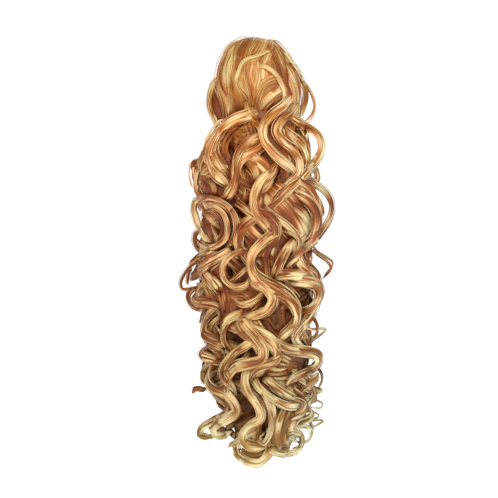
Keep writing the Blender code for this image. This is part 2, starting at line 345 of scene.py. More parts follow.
def hair_mesh(name, tubes):
    """One mesh of many closed tubes. tubes is a list of points, map and tones.

    The points are an array of count by steps by sides by 3. Each ring joins the next, and each end is one
    face. A point is painted darker the deeper it lies in the hair, as painted shade: its tone gains
    PAINTED_DEPTH_SHADE times its share of the way out from the section's middle, less OUTER_SHARE, within
    PAINTED_DEPTH_LIMITS.
    """
    walls = []
    ends = []
    first = 0
    for points, _, _ in tubes:
        count, steps, sides, _ = points.shape
        corner = first + np.arange(count * steps * sides).reshape(count, steps, sides)
        after = np.roll(corner, -1, axis=2)
        quads = np.stack([corner[:, :-1], after[:, :-1], after[:, 1:], corner[:, 1:]], axis=-1)
        walls.append(quads.reshape(-1, 4))
        ends.append(np.concatenate([corner[:, 0, ::-1], corner[:, -1]]))
        first += corner.size
    loops = np.concatenate([w.ravel() for w in walls] + [e.ravel() for e in ends])
    wall_totals = [np.full(len(w), 4) for w in walls]
    totals = np.concatenate(wall_totals + [np.full(len(e), e.shape[1]) for e in ends])
    points = np.concatenate([p.reshape(-1, 3) for p, _, _ in tubes])
    uv = np.concatenate([m.reshape(-1, 2) for _, m, _ in tubes])
    tones = np.concatenate([t.reshape(-1) for _, _, t in tubes])
    x, y, z = points.T
    middle = reach(z, "middle")
    wide = np.where(x > 0, reach(z, "right"), reach(z, "left"))
    deep = np.where(y < middle, reach(z, "front") + middle, reach(z, "back") - middle)
    out = np.hypot(x / np.maximum(wide, LEAST_DEPTH), (y - middle) / np.maximum(deep, LEAST_DEPTH))
    # Painted shade: the tone falls the deeper a point lies inside the hair.
    tones = tones + np.clip(PAINTED_DEPTH_SHADE * (out - OUTER_SHARE), *PAINTED_DEPTH_LIMITS)
    mesh = bpy.data.meshes.new(name)
    mesh.vertices.add(len(points))
    mesh.vertices.foreach_set("co", points.ravel().astype(np.float32))
    mesh.loops.add(len(loops))
    mesh.loops.foreach_set("vertex_index", loops.astype(np.int32))
    mesh.polygons.add(len(totals))
    mesh.polygons.foreach_set("loop_start", (np.cumsum(totals) - totals).astype(np.int32))
    mesh.polygons.foreach_set("use_smooth", np.ones(len(totals), bool))
    mesh.update(calc_edges=True)
    layer = mesh.uv_layers.new(name="hair_uv")
    layer.data.foreach_set("uv", uv[loops].ravel().astype(np.float32))
    tone = mesh.attributes.new("tone", "FLOAT", "POINT")
    tone.data.foreach_set("value", tones.astype(np.float32))
    return mesh


def show(name, mesh, material, node=None):
    """Adds a mesh as one piece of the object, with its material in a slot, and hides the solid that it
    stands for.
    """
    made = bpy.data.objects.new(name, mesh)
    bpy.context.scene.collection.objects.link(made)
    mesh.materials.append(material)
    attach(made, "root")
    if node:
        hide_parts(node)


def hair_material(name, dark, mid, light, streak_mm, gloss):
    """Curled synthetic fibre: colours that change down the hair, in streaks, with a long satin shine.

    dark, mid and light are rows of (height in mm, colour). Two noises in the lock's own map, one a few
    fibres wide and one a strand wide, plus each point's tone pick between the three colours; the tone holds
    the strand's own shade with painted shade and painted sheen in it. The finer noise is the bump too.
    Single fibres are too fine to show, so the finer noise stands for bunches of them. Over that lies a tint
    that changes from the left side to the right, and one that changes slowly from lock to lock, as batches
    of dyed fibre do.
    """
    material, tree, output = new_material(name)
    place = add_node(tree, "ShaderNodeTexCoord")
    height = add_node(tree, "ShaderNodeSeparateXYZ", None, {0: place.outputs["Object"]})
    down = ranged(tree, height.outputs[2], hair_top, hair_tips)
    shades = []
    for rows in (dark, mid, light):
        ramp = add_node(tree, "ShaderNodeValToRGB", None, {0: down})
        stops = ramp.color_ramp.elements
        stops[0].color = linear(rows[0][1])
        stops[1].color = linear(rows[-1][1])
        for z, shade in rows[1:-1]:
            stop = stops.new((hair_top * 1000 - z) / (hair_length * 1000))
            stop.color = linear(shade)
        shades.append(ramp.outputs[0])
    map_uv = add_node(tree, "ShaderNodeUVMap", {"uv_map": "hair_uv"})
    fine, broad = (
        noise_at(tree, map_uv.outputs[0], (1000 / across_mm, 1000 / along_mm, 1), detail)
        for across_mm, along_mm, detail in streak_mm
    )
    # The tone attribute: each strand's own shade, with painted shade and painted sheen added to it.
    fibre_tone_and_painted_light = add_node(tree, "ShaderNodeAttribute", {"attribute_name": "tone"}).outputs["Fac"]
    parts = []
    for noise, gain, start in ((fine, FINE_GAIN, FINE_START), (broad, BROAD_GAIN, BROAD_START)):
        settings = {"operation": "MULTIPLY_ADD", 1: gain, 2: start}
        parts.append(add_node(tree, "ShaderNodeMath", settings, {0: noise}).outputs[0])
    both = add_node(tree, "ShaderNodeMath", {"operation": "ADD"}, {0: parts[0], 1: parts[1]}).outputs[0]
    fibre_tone_and_painted_light = add_node(tree, "ShaderNodeMath", {"operation": "ADD"}, {0: both, 1: fibre_tone_and_painted_light}).outputs[0]
    low = mixed_colour(tree, ranged(tree, fibre_tone_and_painted_light, MID_FROM, MID_WHOLE), shades[0], shades[1])
    dyed = mixed_colour(tree, ranged(tree, fibre_tone_and_painted_light, LIGHT_FROM, LIGHT_WHOLE), low, shades[2])
    aside = ranged(tree, height.outputs[0], -SIDE_REACH, SIDE_REACH)
    tint = add_node(tree, "ShaderNodeValToRGB", None, {0: aside})
    tint.color_ramp.elements[0].color = linear(SIDE_TINTS[0])
    tint.color_ramp.elements[1].color = linear(SIDE_TINTS[2])
    tint.color_ramp.elements.new(0.5).color = linear(SIDE_TINTS[1])
    sided = mixed_colour(tree, 1.0, dyed, tint.outputs[0], "MULTIPLY")
    batch = ranged(tree, noise_at(tree, map_uv.outputs[0], DYE_SCALE, 0.0), *DYE_RANGE)
    dye = mixed_colour(tree, batch, linear(DYE_COPPER), linear(DYE_GOLD))
    colour = mixed_colour(tree, 1.0, sided, dye, "MULTIPLY")
    bump = add_node(tree, "ShaderNodeBump", {"Strength": 0.3, "Distance": 0.0004}, {"Height": fine})
    tangent = add_node(tree, "ShaderNodeTangent", {"direction_type": "UV_MAP", "uv_map": "hair_uv"})
    fibre = add_node(
        tree,
        "ShaderNodeBsdfPrincipled",
        {
            "Roughness": gloss,
            "IOR": FIBRE_IOR,
            "Anisotropic": SHINE_STRETCH,
            "Specular IOR Level": SHINE_LEVEL,
            "Specular Tint": linear(SHINE_GOLD),
        },
        {"Base Color": colour, "Normal": bump.outputs[0], "Tangent": tangent.outputs[0]},
    )
    tree.links.new(fibre.outputs[0], output.inputs["Surface"])
    return material


# Curled synthetic fibre: satin, golden at the crown, copper in the middle and pale at the tips, with a long
# soft shine across each bend, partly from the gloss and partly painted sheen in the tone. A tone below
# MID_FROM is the dark colour, and one above LIGHT_WHOLE the light one.
FINE_GAIN = 2.1
FINE_START = -1.07
BROAD_GAIN = 2.3
BROAD_START = -1.15
MID_FROM = -0.90
MID_WHOLE = 0.05
LIGHT_FROM = 0.05
LIGHT_WHOLE = 1.20
GLOSS = 0.43
FIBRE_IOR = 1.55
SHINE_STRETCH = 0.9
SHINE_LEVEL = 0.45
SHINE_GOLD = "#ffedd0"
SIDE_REACH = 0.080
DYE_SCALE = (90.0, 6.0, 1.0)
DYE_RANGE = (0.30, 0.70)
DYE_COPPER = "#ffe9de"
DYE_GOLD = "#f6fff2"
SIDE_TINTS = ("#fbe6d2", "#f6dcbc", "#fcffff")
# The fine noise and the broad one: a mark's width across the hair, its length along it, and its detail.
FIBRE_STREAKS_MM = ((2.0, 80.0, 2.0), (4.5, 110.0, 1.0))
DARK = (
    (60, "#824716"), (20, "#804516"), (-60, "#86430f"), (-150, "#5e2b0c"),
    (-250, "#632d09"), (-330, "#5d2f0a"), (-400, "#5b370a"), (-467, "#735716"),
)
MID = (
    (60, "#a4752f"), (20, "#a8762f"), (-60, "#b27a34"), (-150, "#93521e"),
    (-250, "#90531a"), (-330, "#86551a"), (-400, "#845d1f"), (-467, "#9a8844"),
)
LIGHT = (
    (60, "#dccc98"), (20, "#e4dab8"), (-60, "#f0e6c6"), (-150, "#dccca8"),
    (-250, "#e0d6b0"), (-330, "#d2ceac"), (-400, "#ced2bc"), (-467, "#dae4d8"),
)
curled_fibre = hair_material("curled_fibre", DARK, MID, LIGHT, FIBRE_STREAKS_MM, GLOSS)

# The layer's sides in mm left and right of the origin at each height, and its bands. A band's row gives its
# width and height in mm, its shade, and points along it in mm right of and above the origin. A height below
# zero is a hollow. A shade is the hair's own colour with painted light in it: the dark shades of the
# hollows are painted shade, and the creamiest bands are partly painted highlight.
UNDER_COLUMNS = ("z", "left", "right")
UNDER_MM = (
    (-30, 40, 38), (-40, 41, 41), (-50, 44, 46), (-62, 52, 48), (-74, 59, 49), (-85, 64, 55), (-98, 70, 59),
    (-110, 75, 64), (-122, 75, 60), (-130, 74, 48), (-138, 68, 57), (-150, 66, 60), (-165, 62, 61),
    (-178, 66, 62), (-190, 72, 65), (-200, 73, 62), (-215, 73, 58), (-229, 72, 61), (-245, 73, 62),
    (-258, 73, 48), (-268, 72, 58), (-285, 65, 61), (-305, 66, 58), (-320, 64, 60), (-335, 68, 59),
    (-350, 70, 60), (-362, 67, 61), (-373, 52, 62), (-382, 46, 62), (-390, 40, 61), (-400, 36, 58),
    (-413, 34, 54), (-423, 28, 48), (-436, 18, 42), (-450, 10, 26),
)

# The layer goes from UNDER_TOP to UNDER_TIP in UNDER_LEVELS rings of UNDER_FRONT and UNDER_BACK points. Its
# base tone, painted dark as shade under the curls, counts as BASE_WEIGHT beside the bands, whose bells are
# the narrower the higher BAND_SOFTNESS is.
UNDER_TOP = -0.034
UNDER_TIP = -0.448
UNDER_LEVELS = 290
UNDER_FRONT = 190
UNDER_BACK = 60
UNDER_INSET = 0.006
UNDER_RELIEF = 1.6
BACK_INSET = 0.020
EDGE_POWER = 6
UNDER_MAP = 0.07
PLANE_LIMIT = 1e-6
UNDER_PAINTED_SHADE = -0.85
BASE_WEIGHT = 0.03
BAND_STEPS = 24
BAND_SOFTNESS = 1.3
BAND_MAP_GAP = 0.11
BAND_COLUMNS = ("name", "wide", "high", "tone", "points")
UNDER_BANDS = (
    ("left_tan", 10, 2.0, 0.30,
     ((-40, -45), (-52, -55), (-60, -67), (-65, -80), (-63, -93), (-56, -104))),
    ("left_tan_in", 10, 2.0, 0.10,
     ((-30, -48), (-43, -57), (-50, -69), (-54, -82), (-49, -95), (-40, -107), (-33, -117))),
    ("left_pink", 12, 1.5, -0.10,
     ((-23, -52), (-35, -61), (-43, -73), (-43, -85), (-35, -98), (-30, -108))),
    ("left_hole", 7, -9.0, -1.60,
     ((-35, -66), (-34, -78), (-32, -89), (-29, -99))),
    ("left_hole_top", 9, -9.0, -1.40,
     ((-18, -46), (-27, -50), (-34, -55))),
    ("left_streak", 6, 1.5, 0.55,
     ((-68, -88), (-60, -98), (-50, -107), (-40, -118), (-34, -129))),
    ("left_copper", 15, 2.0, -0.50,
     ((-76, -90), (-78, -101), (-73, -113), (-62, -124), (-52, -135))),
    ("left_edge", 7, 2.0, 0.45,
     ((-80, -93), (-83, -105), (-82, -117), (-79, -129))),
    ("left_mauve", 13, 1.0, -0.30,
     ((-72, -122), (-62, -122), (-55, -129), (-57, -139))),
    ("left_deep", 18, -3.0, -1.05,
     ((-46, -105), (-39, -116), (-34, -127), (-38, -139))),
    ("middle_pink", 13, 1.5, -0.35,
     ((-27, -96), (-26, -110), (-22, -123), (-18, -137))),
    ("middle_copper", 18, 1.0, -0.40,
     ((-28, -61), (-20, -67), (-11, -63))),
    ("middle_copper_two", 14, 1.0, -0.50,
     ((-27, -76), (-20, -80), (-23, -90))),
    ("middle_fall", 11, 2.0, 0.00,
     ((-9, -46), (-6, -57), (-4, -68), (2, -78))),
    ("stripe_dark", 16, 1.0, -0.50,
     ((-20, -94), (-11, -104), (-2, -115), (0, -126))),
    ("stripe_copper", 7, 1.0, -0.85,
     ((4, -73), (9, -85), (13, -98), (17, -108))),
    ("gold_right", 16, 2.0, 0.10,
     ((26, -54), (30, -67), (38, -80), (44, -93), (46, -106))),
    ("spot_dark", 7, -6.0, -1.20,
     ((40, -68), (45, -74), (49, -82))),
    ("spot_right", 6, -6.0, -1.10,
     ((56, -78), (57, -90))),
    ("olive_right", 10, 2.0, 0.00,
     ((50, -63), (55, -76), (57, -89), (54, -102))),
    ("slit", 6, -9.0, -1.70,
     ((20, -105), (21, -118), (18, -132))),
    ("copper_stripes", 11, 1.5, -0.30,
     ((29, -95), (30, -108), (30, -122), (27, -135))),
    ("gold_stripes", 9, 1.5, 0.15,
     ((40, -99), (41, -112), (38, -126))),
    ("leaf_inside", 9, 1.0, -0.35,
     ((9, -126), (5, -137), (2, -149))),
    ("dark_left", 6, -6.0, -1.20,
     ((-22, -133), (-24, -139))),
    ("dark_middle", 7, -6.0, -1.40,
     ((-9, -146), (-13, -152))),
    ("pink_right", 9, 1.5, -0.15,
     ((-18, -122), (-13, -132), (-16, -141))),
    ("panel", 34, 2.0, 0.02,
     ((30, -141), (39, -154), (49, -166), (57, -180))),
    ("panel_light", 9, 1.5, 0.50,
     ((13, -157), (26, -167), (38, -178), (50, -188))),
    ("panel_copper", 4, 1.0, -0.70,
     ((23, -150), (29, -158), (38, -167), (46, -177))),
    ("panel_gold", 7, 1.5, 0.35,
     ((38, -145), (46, -156), (55, -167), (62, -177))),
    ("slate", 8, -6.0, -1.30,
     ((43, -137), (51, -145), (61, -155))),
    ("dark_notch", 9, -6.0, -1.20,
     ((-27, -156), (-20, -158))),
    ("copper_field", 24, 1.5, -0.45,
     ((-20, -166), (-9, -174), (4, -184), (9, -194))),
    ("copper_light", 7, 1.5, 0.10,
     ((-20, -179), (-13, -189), (-9, -199))),
    ("copper_light_two", 6, 1.5, 0.20,
     ((-6, -173), (0, -183), (6, -191))),
    ("dark_strip", 5, 0.5, -0.90,
     ((9, -166), (16, -174), (22, -183))),
    ("brown_strip", 10, 1.0, -0.60,
     ((-28, -168), (-30, -180), (-29, -194))),
    ("deep_notch", 16, -6.0, -1.40,
     ((-45, -200), (-33, -200))),
    ("olive_shade", 12, 0.5, -0.75,
     ((16, -194), (11, -205), (9, -217))),
    ("fan_copper", 16, 2.0, -0.20,
     ((-43, -208), (-56, -217), (-67, -226), (-77, -233))),
    ("fan_light", 5, 1.5, 0.45,
     ((-55, -206), (-65, -213), (-74, -222))),
    ("fan_brown", 12, 1.0, -0.60,
     ((-65, -208), (-76, -217), (-83, -227))),
    ("ring_deep", 13, -9.0, -1.30,
     ((-65, -238), (-57, -245), (-52, -255))),
    ("tan_bit", 7, 1.5, 0.55,
     ((-59, -235), (-51, -243), (-46, -250))),
    ("ring_two_hole", 20, -12.0, -1.80,
     ((-26, -213), (-28, -224), (-33, -234))),
    ("copper_side", 10, 1.5, -0.55,
     ((-16, -204), (-11, -216), (-11, -229))),
    ("mauve_fall", 15, 1.0, -0.80,
     ((-44, -251), (-41, -265), (-38, -279))),
    ("copper_curl", 16, 2.0, -0.10,
     ((-30, -254), (-20, -255), (-12, -262), (-21, -271), (-30, -267))),
    ("copper_curl_two", 10, 2.0, -0.15,
     ((-9, -244), (-2, -254), (-5, -265), (-15, -273))),
    ("brown_lines", 14, 1.0, -0.70,
     ((5, -205), (10, -218), (12, -232), (17, -244))),
    ("copper_lines", 10, 1.5, -0.40,
     ((21, -205), (21, -218), (23, -232), (27, -245))),
    ("copper_bright", 10, 2.0, -0.10,
     ((33, -205), (32, -217), (32, -229))),
    ("gold_bright", 10, 2.0, 0.15,
     ((41, -202), (41, -215), (44, -227))),
    ("olive_deep", 10, -6.0, -1.00,
     ((29, -246), (39, -252), (48, -260))),
    ("olive_deep_two", 13, -3.0, -1.05,
     ((12, -263), (16, -275), (18, -289))),
    ("olive_field", 10, 1.0, -0.60,
     ((30, -273), (30, -285), (33, -297))),
    ("cream_spot", 5, 1.5, 0.90,
     ((28, -272), (35, -266))),
    ("copper_edge", 8, 1.5, -0.50,
     ((38, -263), (41, -277), (37, -290))),
    ("ring_tan", 17, 2.0, 0.15,
     ((-62, -249), (-68, -258), (-72, -267))),
    ("brown_left", 12, 1.0, -0.45,
     ((-61, -273), (-67, -284), (-67, -296))),
    ("gold_left", 14, 2.0, 0.15,
     ((-66, -297), (-59, -306), (-49, -315), (-41, -322))),
    ("copper_left", 6, 1.0, -0.35,
     ((-57, -290), (-50, -301), (-45, -312))),
    ("small_ring_light", 12, 2.0, 0.15,
     ((-37, -291), (-29, -296), (-22, -297))),
    ("small_ring_hole", 20, -9.0, -1.60,
     ((-35, -310), (-28, -313), (-21, -312))),
    ("dark_under", 9, -6.0, -1.20,
     ((-10, -318), (-18, -324), (-24, -330))),
    ("loop_brown", 13, 0.5, -0.75,
     ((-65, -329), (-55, -332))),
    ("olive_strips", 10, 1.0, -0.60,
     ((5, -282), (12, -293), (21, -304))),
    ("grey_right", 15, 2.0, 0.05,
     ((49, -293), (52, -302), (50, -312))),
    ("soft_brown", 30, 1.5, -0.50,
     ((11, -329), (26, -328), (40, -334))),
    ("soft_brown_two", 22, 1.5, -0.55,
     ((9, -344), (23, -346), (35, -344))),
    ("copper_drop", 6, 1.0, -0.80,
     ((-13, -344), (-4, -346))),
    ("cup_brown", 22, 0.5, -1.10,
     ((-63, -344), (-61, -354), (-56, -362))),
    ("deep_one", 16, -9.0, -1.80,
     ((-37, -347), (-26, -349))),
    ("deep_two", 20, -6.0, -1.50,
     ((-34, -358), (-28, -371), (-22, -382), (-15, -393))),
    ("copper_mid", 8, 1.5, -0.30,
     ((-46, -349), (-41, -358), (-37, -367))),
    ("dark_copper", 8, -3.0, -1.20,
     ((2, -358), (7, -355))),
    ("copper_fall", 17, 2.0, -0.55,
     ((6, -366), (16, -374), (27, -382), (37, -389))),
    ("copper_tan", 14, 2.0, -0.20,
     ((21, -356), (32, -363), (43, -373))),
    ("cream_field", 18, 2.0, 0.35,
     ((49, -349), (56, -360), (63, -372))),
    ("brown_knot", 12, 1.5, -0.50,
     ((44, -371), (51, -379), (57, -388))),
    ("dark_small", 6, -6.0, -1.20,
     ((15, -385), (20, -391))),
    ("orange_fall", 22, 2.0, -0.30,
     ((29, -389), (30, -403), (27, -419), (24, -435))),
    ("brown_edge", 8, 1.0, -0.80,
     ((20, -400), (17, -419), (17, -438))),
    ("gold_inside", 8, 1.0, -0.50,
     ((5, -399), (9, -408))),
    ("ring_dark", 14, -9.0, -1.60,
     ((-13, -425), (-4, -427), (5, -422))),
    ("mauve_tip", 14, 1.0, -0.85,
     ((-35, -407), (-44, -414))),
    ("dark_slant", 10, -6.0, -1.50,
     ((-28, -406), (-16, -400), (-2, -393))),
    ("slant_light", 5, 1.0, -0.20,
     ((-30, -401), (-18, -394))),
    ("copper_tip", 8, 1.0, -0.80,
     ((-28, -422), (-28, -434))),
    ("olive_tip", 14, 1.5, 0.00,
     ((39, -442), (28, -439))),
    ("swirl_dark", 14, -3.0, -0.90,
     ((-18, -447), (-6, -451), (4, -446))),
)


def unit(vectors):
    """The vectors, each at length 1."""
    return vectors / np.maximum(np.linalg.norm(vectors, axis=-1, keepdims=True), LEAST_LENGTH)


def smooth_line(points_mm, count):
    """Places at even steps on a smooth curve through the points, with the distance along it."""
    points = np.array(points_mm, float) / 1000
    run = np.concatenate([[0], np.cumsum(np.linalg.norm(np.diff(points, axis=0), axis=1))])
    at = np.linspace(0, run[-1], count)
    return np.stack([eased(at, run, points[:, 0]), eased(at, run, points[:, 1])], axis=-1), at


def band_cover(x, z, bands, base):
    """Height, tone and map that the bands give to points at x and z.

    A band's weight falls as a bell does with the distance from its line over half its width. The tone is
    the mean of the bands' tones by their squared weights. The height is that of the highest band, and a
    hollow is below zero. The map is the distance from and along the band of the most weight.
    """
    total = np.full_like(x, BASE_WEIGHT)
    tone = total * base
    height = np.zeros_like(x)
    hollow = np.zeros_like(x)
    best = np.zeros_like(x)
    u = x.copy()
    v = -z
    for number, row in enumerate(bands):
        band = dict(zip(BAND_COLUMNS, row))
        line, at = smooth_line(band["points"], BAND_STEPS)
        away = np.stack([x[..., None] - line[:, 0], z[..., None] - line[:, 1]], axis=-1)
        gap = np.linalg.norm(away, axis=-1)
        near = gap.argmin(axis=-1)
        gap = gap.min(axis=-1)
        ahead = unit(np.gradient(line, axis=0))[near]
        offset = np.take_along_axis(away, near[..., None, None], axis=-2)[..., 0, :]
        side = ahead[..., 0] * offset[..., 1] - ahead[..., 1] * offset[..., 0]
        weight = np.exp(-BAND_SOFTNESS * (2000 * gap / band["wide"]) ** 2)
        total = total + weight**2
        tone = tone + weight**2 * band["tone"]
        rise = weight * band["high"] / 1000
        height = np.maximum(height, rise)
        hollow = np.minimum(hollow, rise)
        u = np.where(weight > best, side + BAND_MAP_GAP * (number + 1), u)
        v = np.where(weight > best, at[near], v)
        best = np.maximum(best, weight)
    return height + hollow, tone / total, np.stack([u, v], axis=-1)


def under_reach(z, side):
    """How far the layer under the curls reaches on a side at height z, in metres."""
    places = column(UNDER_MM, UNDER_COLUMNS, "z")[::-1] / 1000
    return eased(z, places, column(UNDER_MM, UNDER_COLUMNS, side)[::-1] / 1000)


def under_surface():
    """The layer's points, map and tones, one ring below the other.

    x is the reach on its side times the turn's sine. In front, y is the front of the hair's outside, moved
    in by UNDER_INSET and faded towards the sides by the root of 1 less the sine to EDGE_POWER. The bands
    raise or sink it. Behind, y goes with the turn's cosine from the middle depth to BACK_INSET inside the
    hair's back.
    """
    level = np.linspace(UNDER_TOP, UNDER_TIP, UNDER_LEVELS)[:, None]
    front_turn = np.linspace(-math.pi / 2, math.pi / 2, UNDER_FRONT)
    back_turn = np.linspace(math.pi / 2, 3 * math.pi / 2, UNDER_BACK)[1:-1]
    turn = np.concatenate([front_turn, back_turn])[None, :]
    x = np.where(np.sin(turn) > 0, under_reach(level, "right"), under_reach(level, "left")) * np.sin(turn)
    z = level + 0 * turn
    middle = reach(level, "middle")
    fade = np.sqrt(1 - np.abs(np.sin(turn)) ** EDGE_POWER)
    in_front = middle + (front_of(x, z) + UNDER_INSET - middle) * fade
    behind = middle + (reach(level, "back") - middle - BACK_INSET) * -np.minimum(np.cos(turn), 0)
    y = np.where(np.cos(turn) > PLANE_LIMIT, in_front, behind)
    ahead = slice(0, UNDER_FRONT)
    high = np.zeros_like(x)
    # Painted shade: the layer's base tone is dark for the shade under the curls.
    tone = np.full_like(x, UNDER_PAINTED_SHADE)
    laid = np.stack([UNDER_MAP * turn + 0 * level, -z], axis=-1)
    banded = band_cover(x[:, ahead], z[:, ahead], UNDER_BANDS, UNDER_PAINTED_SHADE)
    high[:, ahead], tone[:, ahead], laid[:, ahead] = banded
    points = np.stack([x, y - UNDER_RELIEF * high * fade, z], axis=-1)
    return points[None], laid[None], tone[None]


show("under_layer", hair_mesh("under_layer", [under_surface()]), curled_fibre, "hair_fall")

# Curled locks, front. Each lock is a flat bundle of strands set in a loose spiral, broad where it crosses
# the front and narrow where it turns. A row gives the turns of one lock, from its root to its tip, in mm
# right of and above the origin. wide is across the lock and high its thickness in mm, deep is how far it
# spirals in depth as a share of its swing, lean opens its turns into rings, lift brings it forward and tone
# is its own shade.
LOCK_COLUMNS = ("name", "wide", "high", "deep", "hand", "lean", "lift", "tone", "turns")

# How a tube drifts and rolls beside its place, how far the lock's edges sag, and how the lock spreads and
# each tube thickens from its two ends: a start, and the rate at which it grows to its whole size.
TURN_STEPS = 60
SIDE_FACE = 0.35
DEEP_FACE = 1.5
DRIFT_BEAT = (0.06, 0.16)
DRIFT_ASIDE = 0.16
DRIFT_THROUGH = 0.3
DRIFT_ROLL = 0.2
DRIFT_WIDTH = 0.15
EDGE_SAG = 0.5
ROLL = 0.5
ROOT_SPREAD = (0.55, 6)
TIP_SPREAD = (0.35, 5)
ROOT_TAPER = (0.3, 12)
TIP_TAPER = (0.12, 7)
# Painted shade: how much lower a tube's tone is on its sunk corners and higher on its ridges.
RIDGE_PAINTED_SHADE = 1.2
MAP_SPREAD = 40
TUBE_MAP_SPREAD = 0.01

# What a lock is made of, with sizes as shares of its width: a body, half-sunk tresses, and strands over
# them.
LOCK_FRAY = 0.10
LOCK_SIDES = 10
BODY_SHARE = 0.94
BODY_LAYER = -0.4
BODY_MAKE = {"mixed": 0.10, "flat": 0.26, "fray": 0.02, "ridge": 0.02}
TRESS_SHARE = 0.42
TRESSES_EACH = 0.45
TRESS_REACH = 0.62
TRESS_JITTER = 0.15
TRESS_LAYERS = (-0.25, 0.25)
TRESS_SIZES = (0.7, 1.2)
TRESS_MAKE = {"mixed": 0.26, "sides": 6, "flat": 0.30}
STRANDS_EACH = 0.7
STRAND_REACH = 1.05
STRAND_JITTER = 0.2
STRAND_LAYERS = (0.0, 0.7)
STRAND_WIDTHS = (0.0008, 0.0016)
STRAND_TONE = 0.05
STRAND_FRAY = 1.8
STRAND_MAKE = {"mixed": 0.25, "sides": 4, "flat": 0.6}


def grown(share, start, rate):
    """A size that grows evenly from start, at rate times the share of the way, until it is whole."""
    return np.minimum(1, start + rate * share)


def end_tucks(share, root_rate, tip_rate):
    """How far the root and the tip go in: the square of what falls from 1 to 0 over 1 / rate of the way."""
    near_root = np.maximum(0, 1 - root_rate * share)
    near_tip = np.maximum(0, tip_rate * share - (tip_rate - 1))
    return near_root**2, near_tip**2


def even_steps(centre, face, step):
    """A path's centre line and its broad side's direction at even steps, with the distance along it."""
    run = np.concatenate([[0], np.cumsum(np.linalg.norm(np.diff(centre, axis=0), axis=1))])
    at = np.linspace(0, run[-1], int(run[-1] / step) + 2)
    centre = np.stack([np.interp(at, run, centre[:, k]) for k in range(3)], axis=-1)
    face = unit(np.stack([np.interp(at, run, face[:, k]) for k in range(3)], axis=-1))
    return centre, face, at


def winding_path(turns_mm, deep, hand, lean, lift, step):
    """Centre line of a lock, its broad side's direction and the distance along it.

    From each turn to the next the phase grows by pi. x goes from one to the other as the cosine does. z
    follows a smooth curve through the turns, steeper at each turn by ROUND so that it is round, plus lean
    times the swing times the sine. y is the mass's front behind the lock's axis, brought forward by lift
    and by deep times the swing times the sine. The broad side of a flat wave faces forward, and that of a
    deep one faces away from its axis.
    """
    turns = np.array(turns_mm, float) / 1000
    count = np.arange(len(turns))
    phase = np.linspace(0, len(turns) - 1, TURN_STEPS * (len(turns) - 1) + 1)
    i = np.clip(phase.astype(int), 0, len(turns) - 2)
    ease = (1 - np.cos(np.pi * (phase - i))) / 2
    x = turns[i, 0] * (1 - ease) + turns[i + 1, 0] * ease
    middles = (turns[1:] + turns[:-1]) / 2
    half = np.abs(np.diff(turns[:, 0])) / 2
    swing = np.interp(phase, count[:-1] + 0.5, half)
    axis_x = np.interp(phase, count[:-1] + 0.5, middles[:, 0])
    fall = np.interp(phase, count[:-1] + 0.5, np.diff(turns[:, 1]))
    wave = hand * np.sin(np.pi * phase)
    line = eased(phase, count, turns[:, 1])
    z = line + fall * ROUND / math.pi * np.sin(2 * np.pi * phase) + lean * swing * wave
    y = front_of(axis_x, line) - lift - deep * swing * wave
    first = 1.0 if turns[0, 0] > turns[1, 0] else -1.0
    side = first * np.cos(np.pi * phase) * (SIDE_FACE + deep)
    centre = np.stack([x, y, z], axis=-1)
    face = unit(np.stack([side, deep - 1 - DEEP_FACE * deep * wave, 0 * wave], axis=-1))
    return even_steps(centre, face, step)


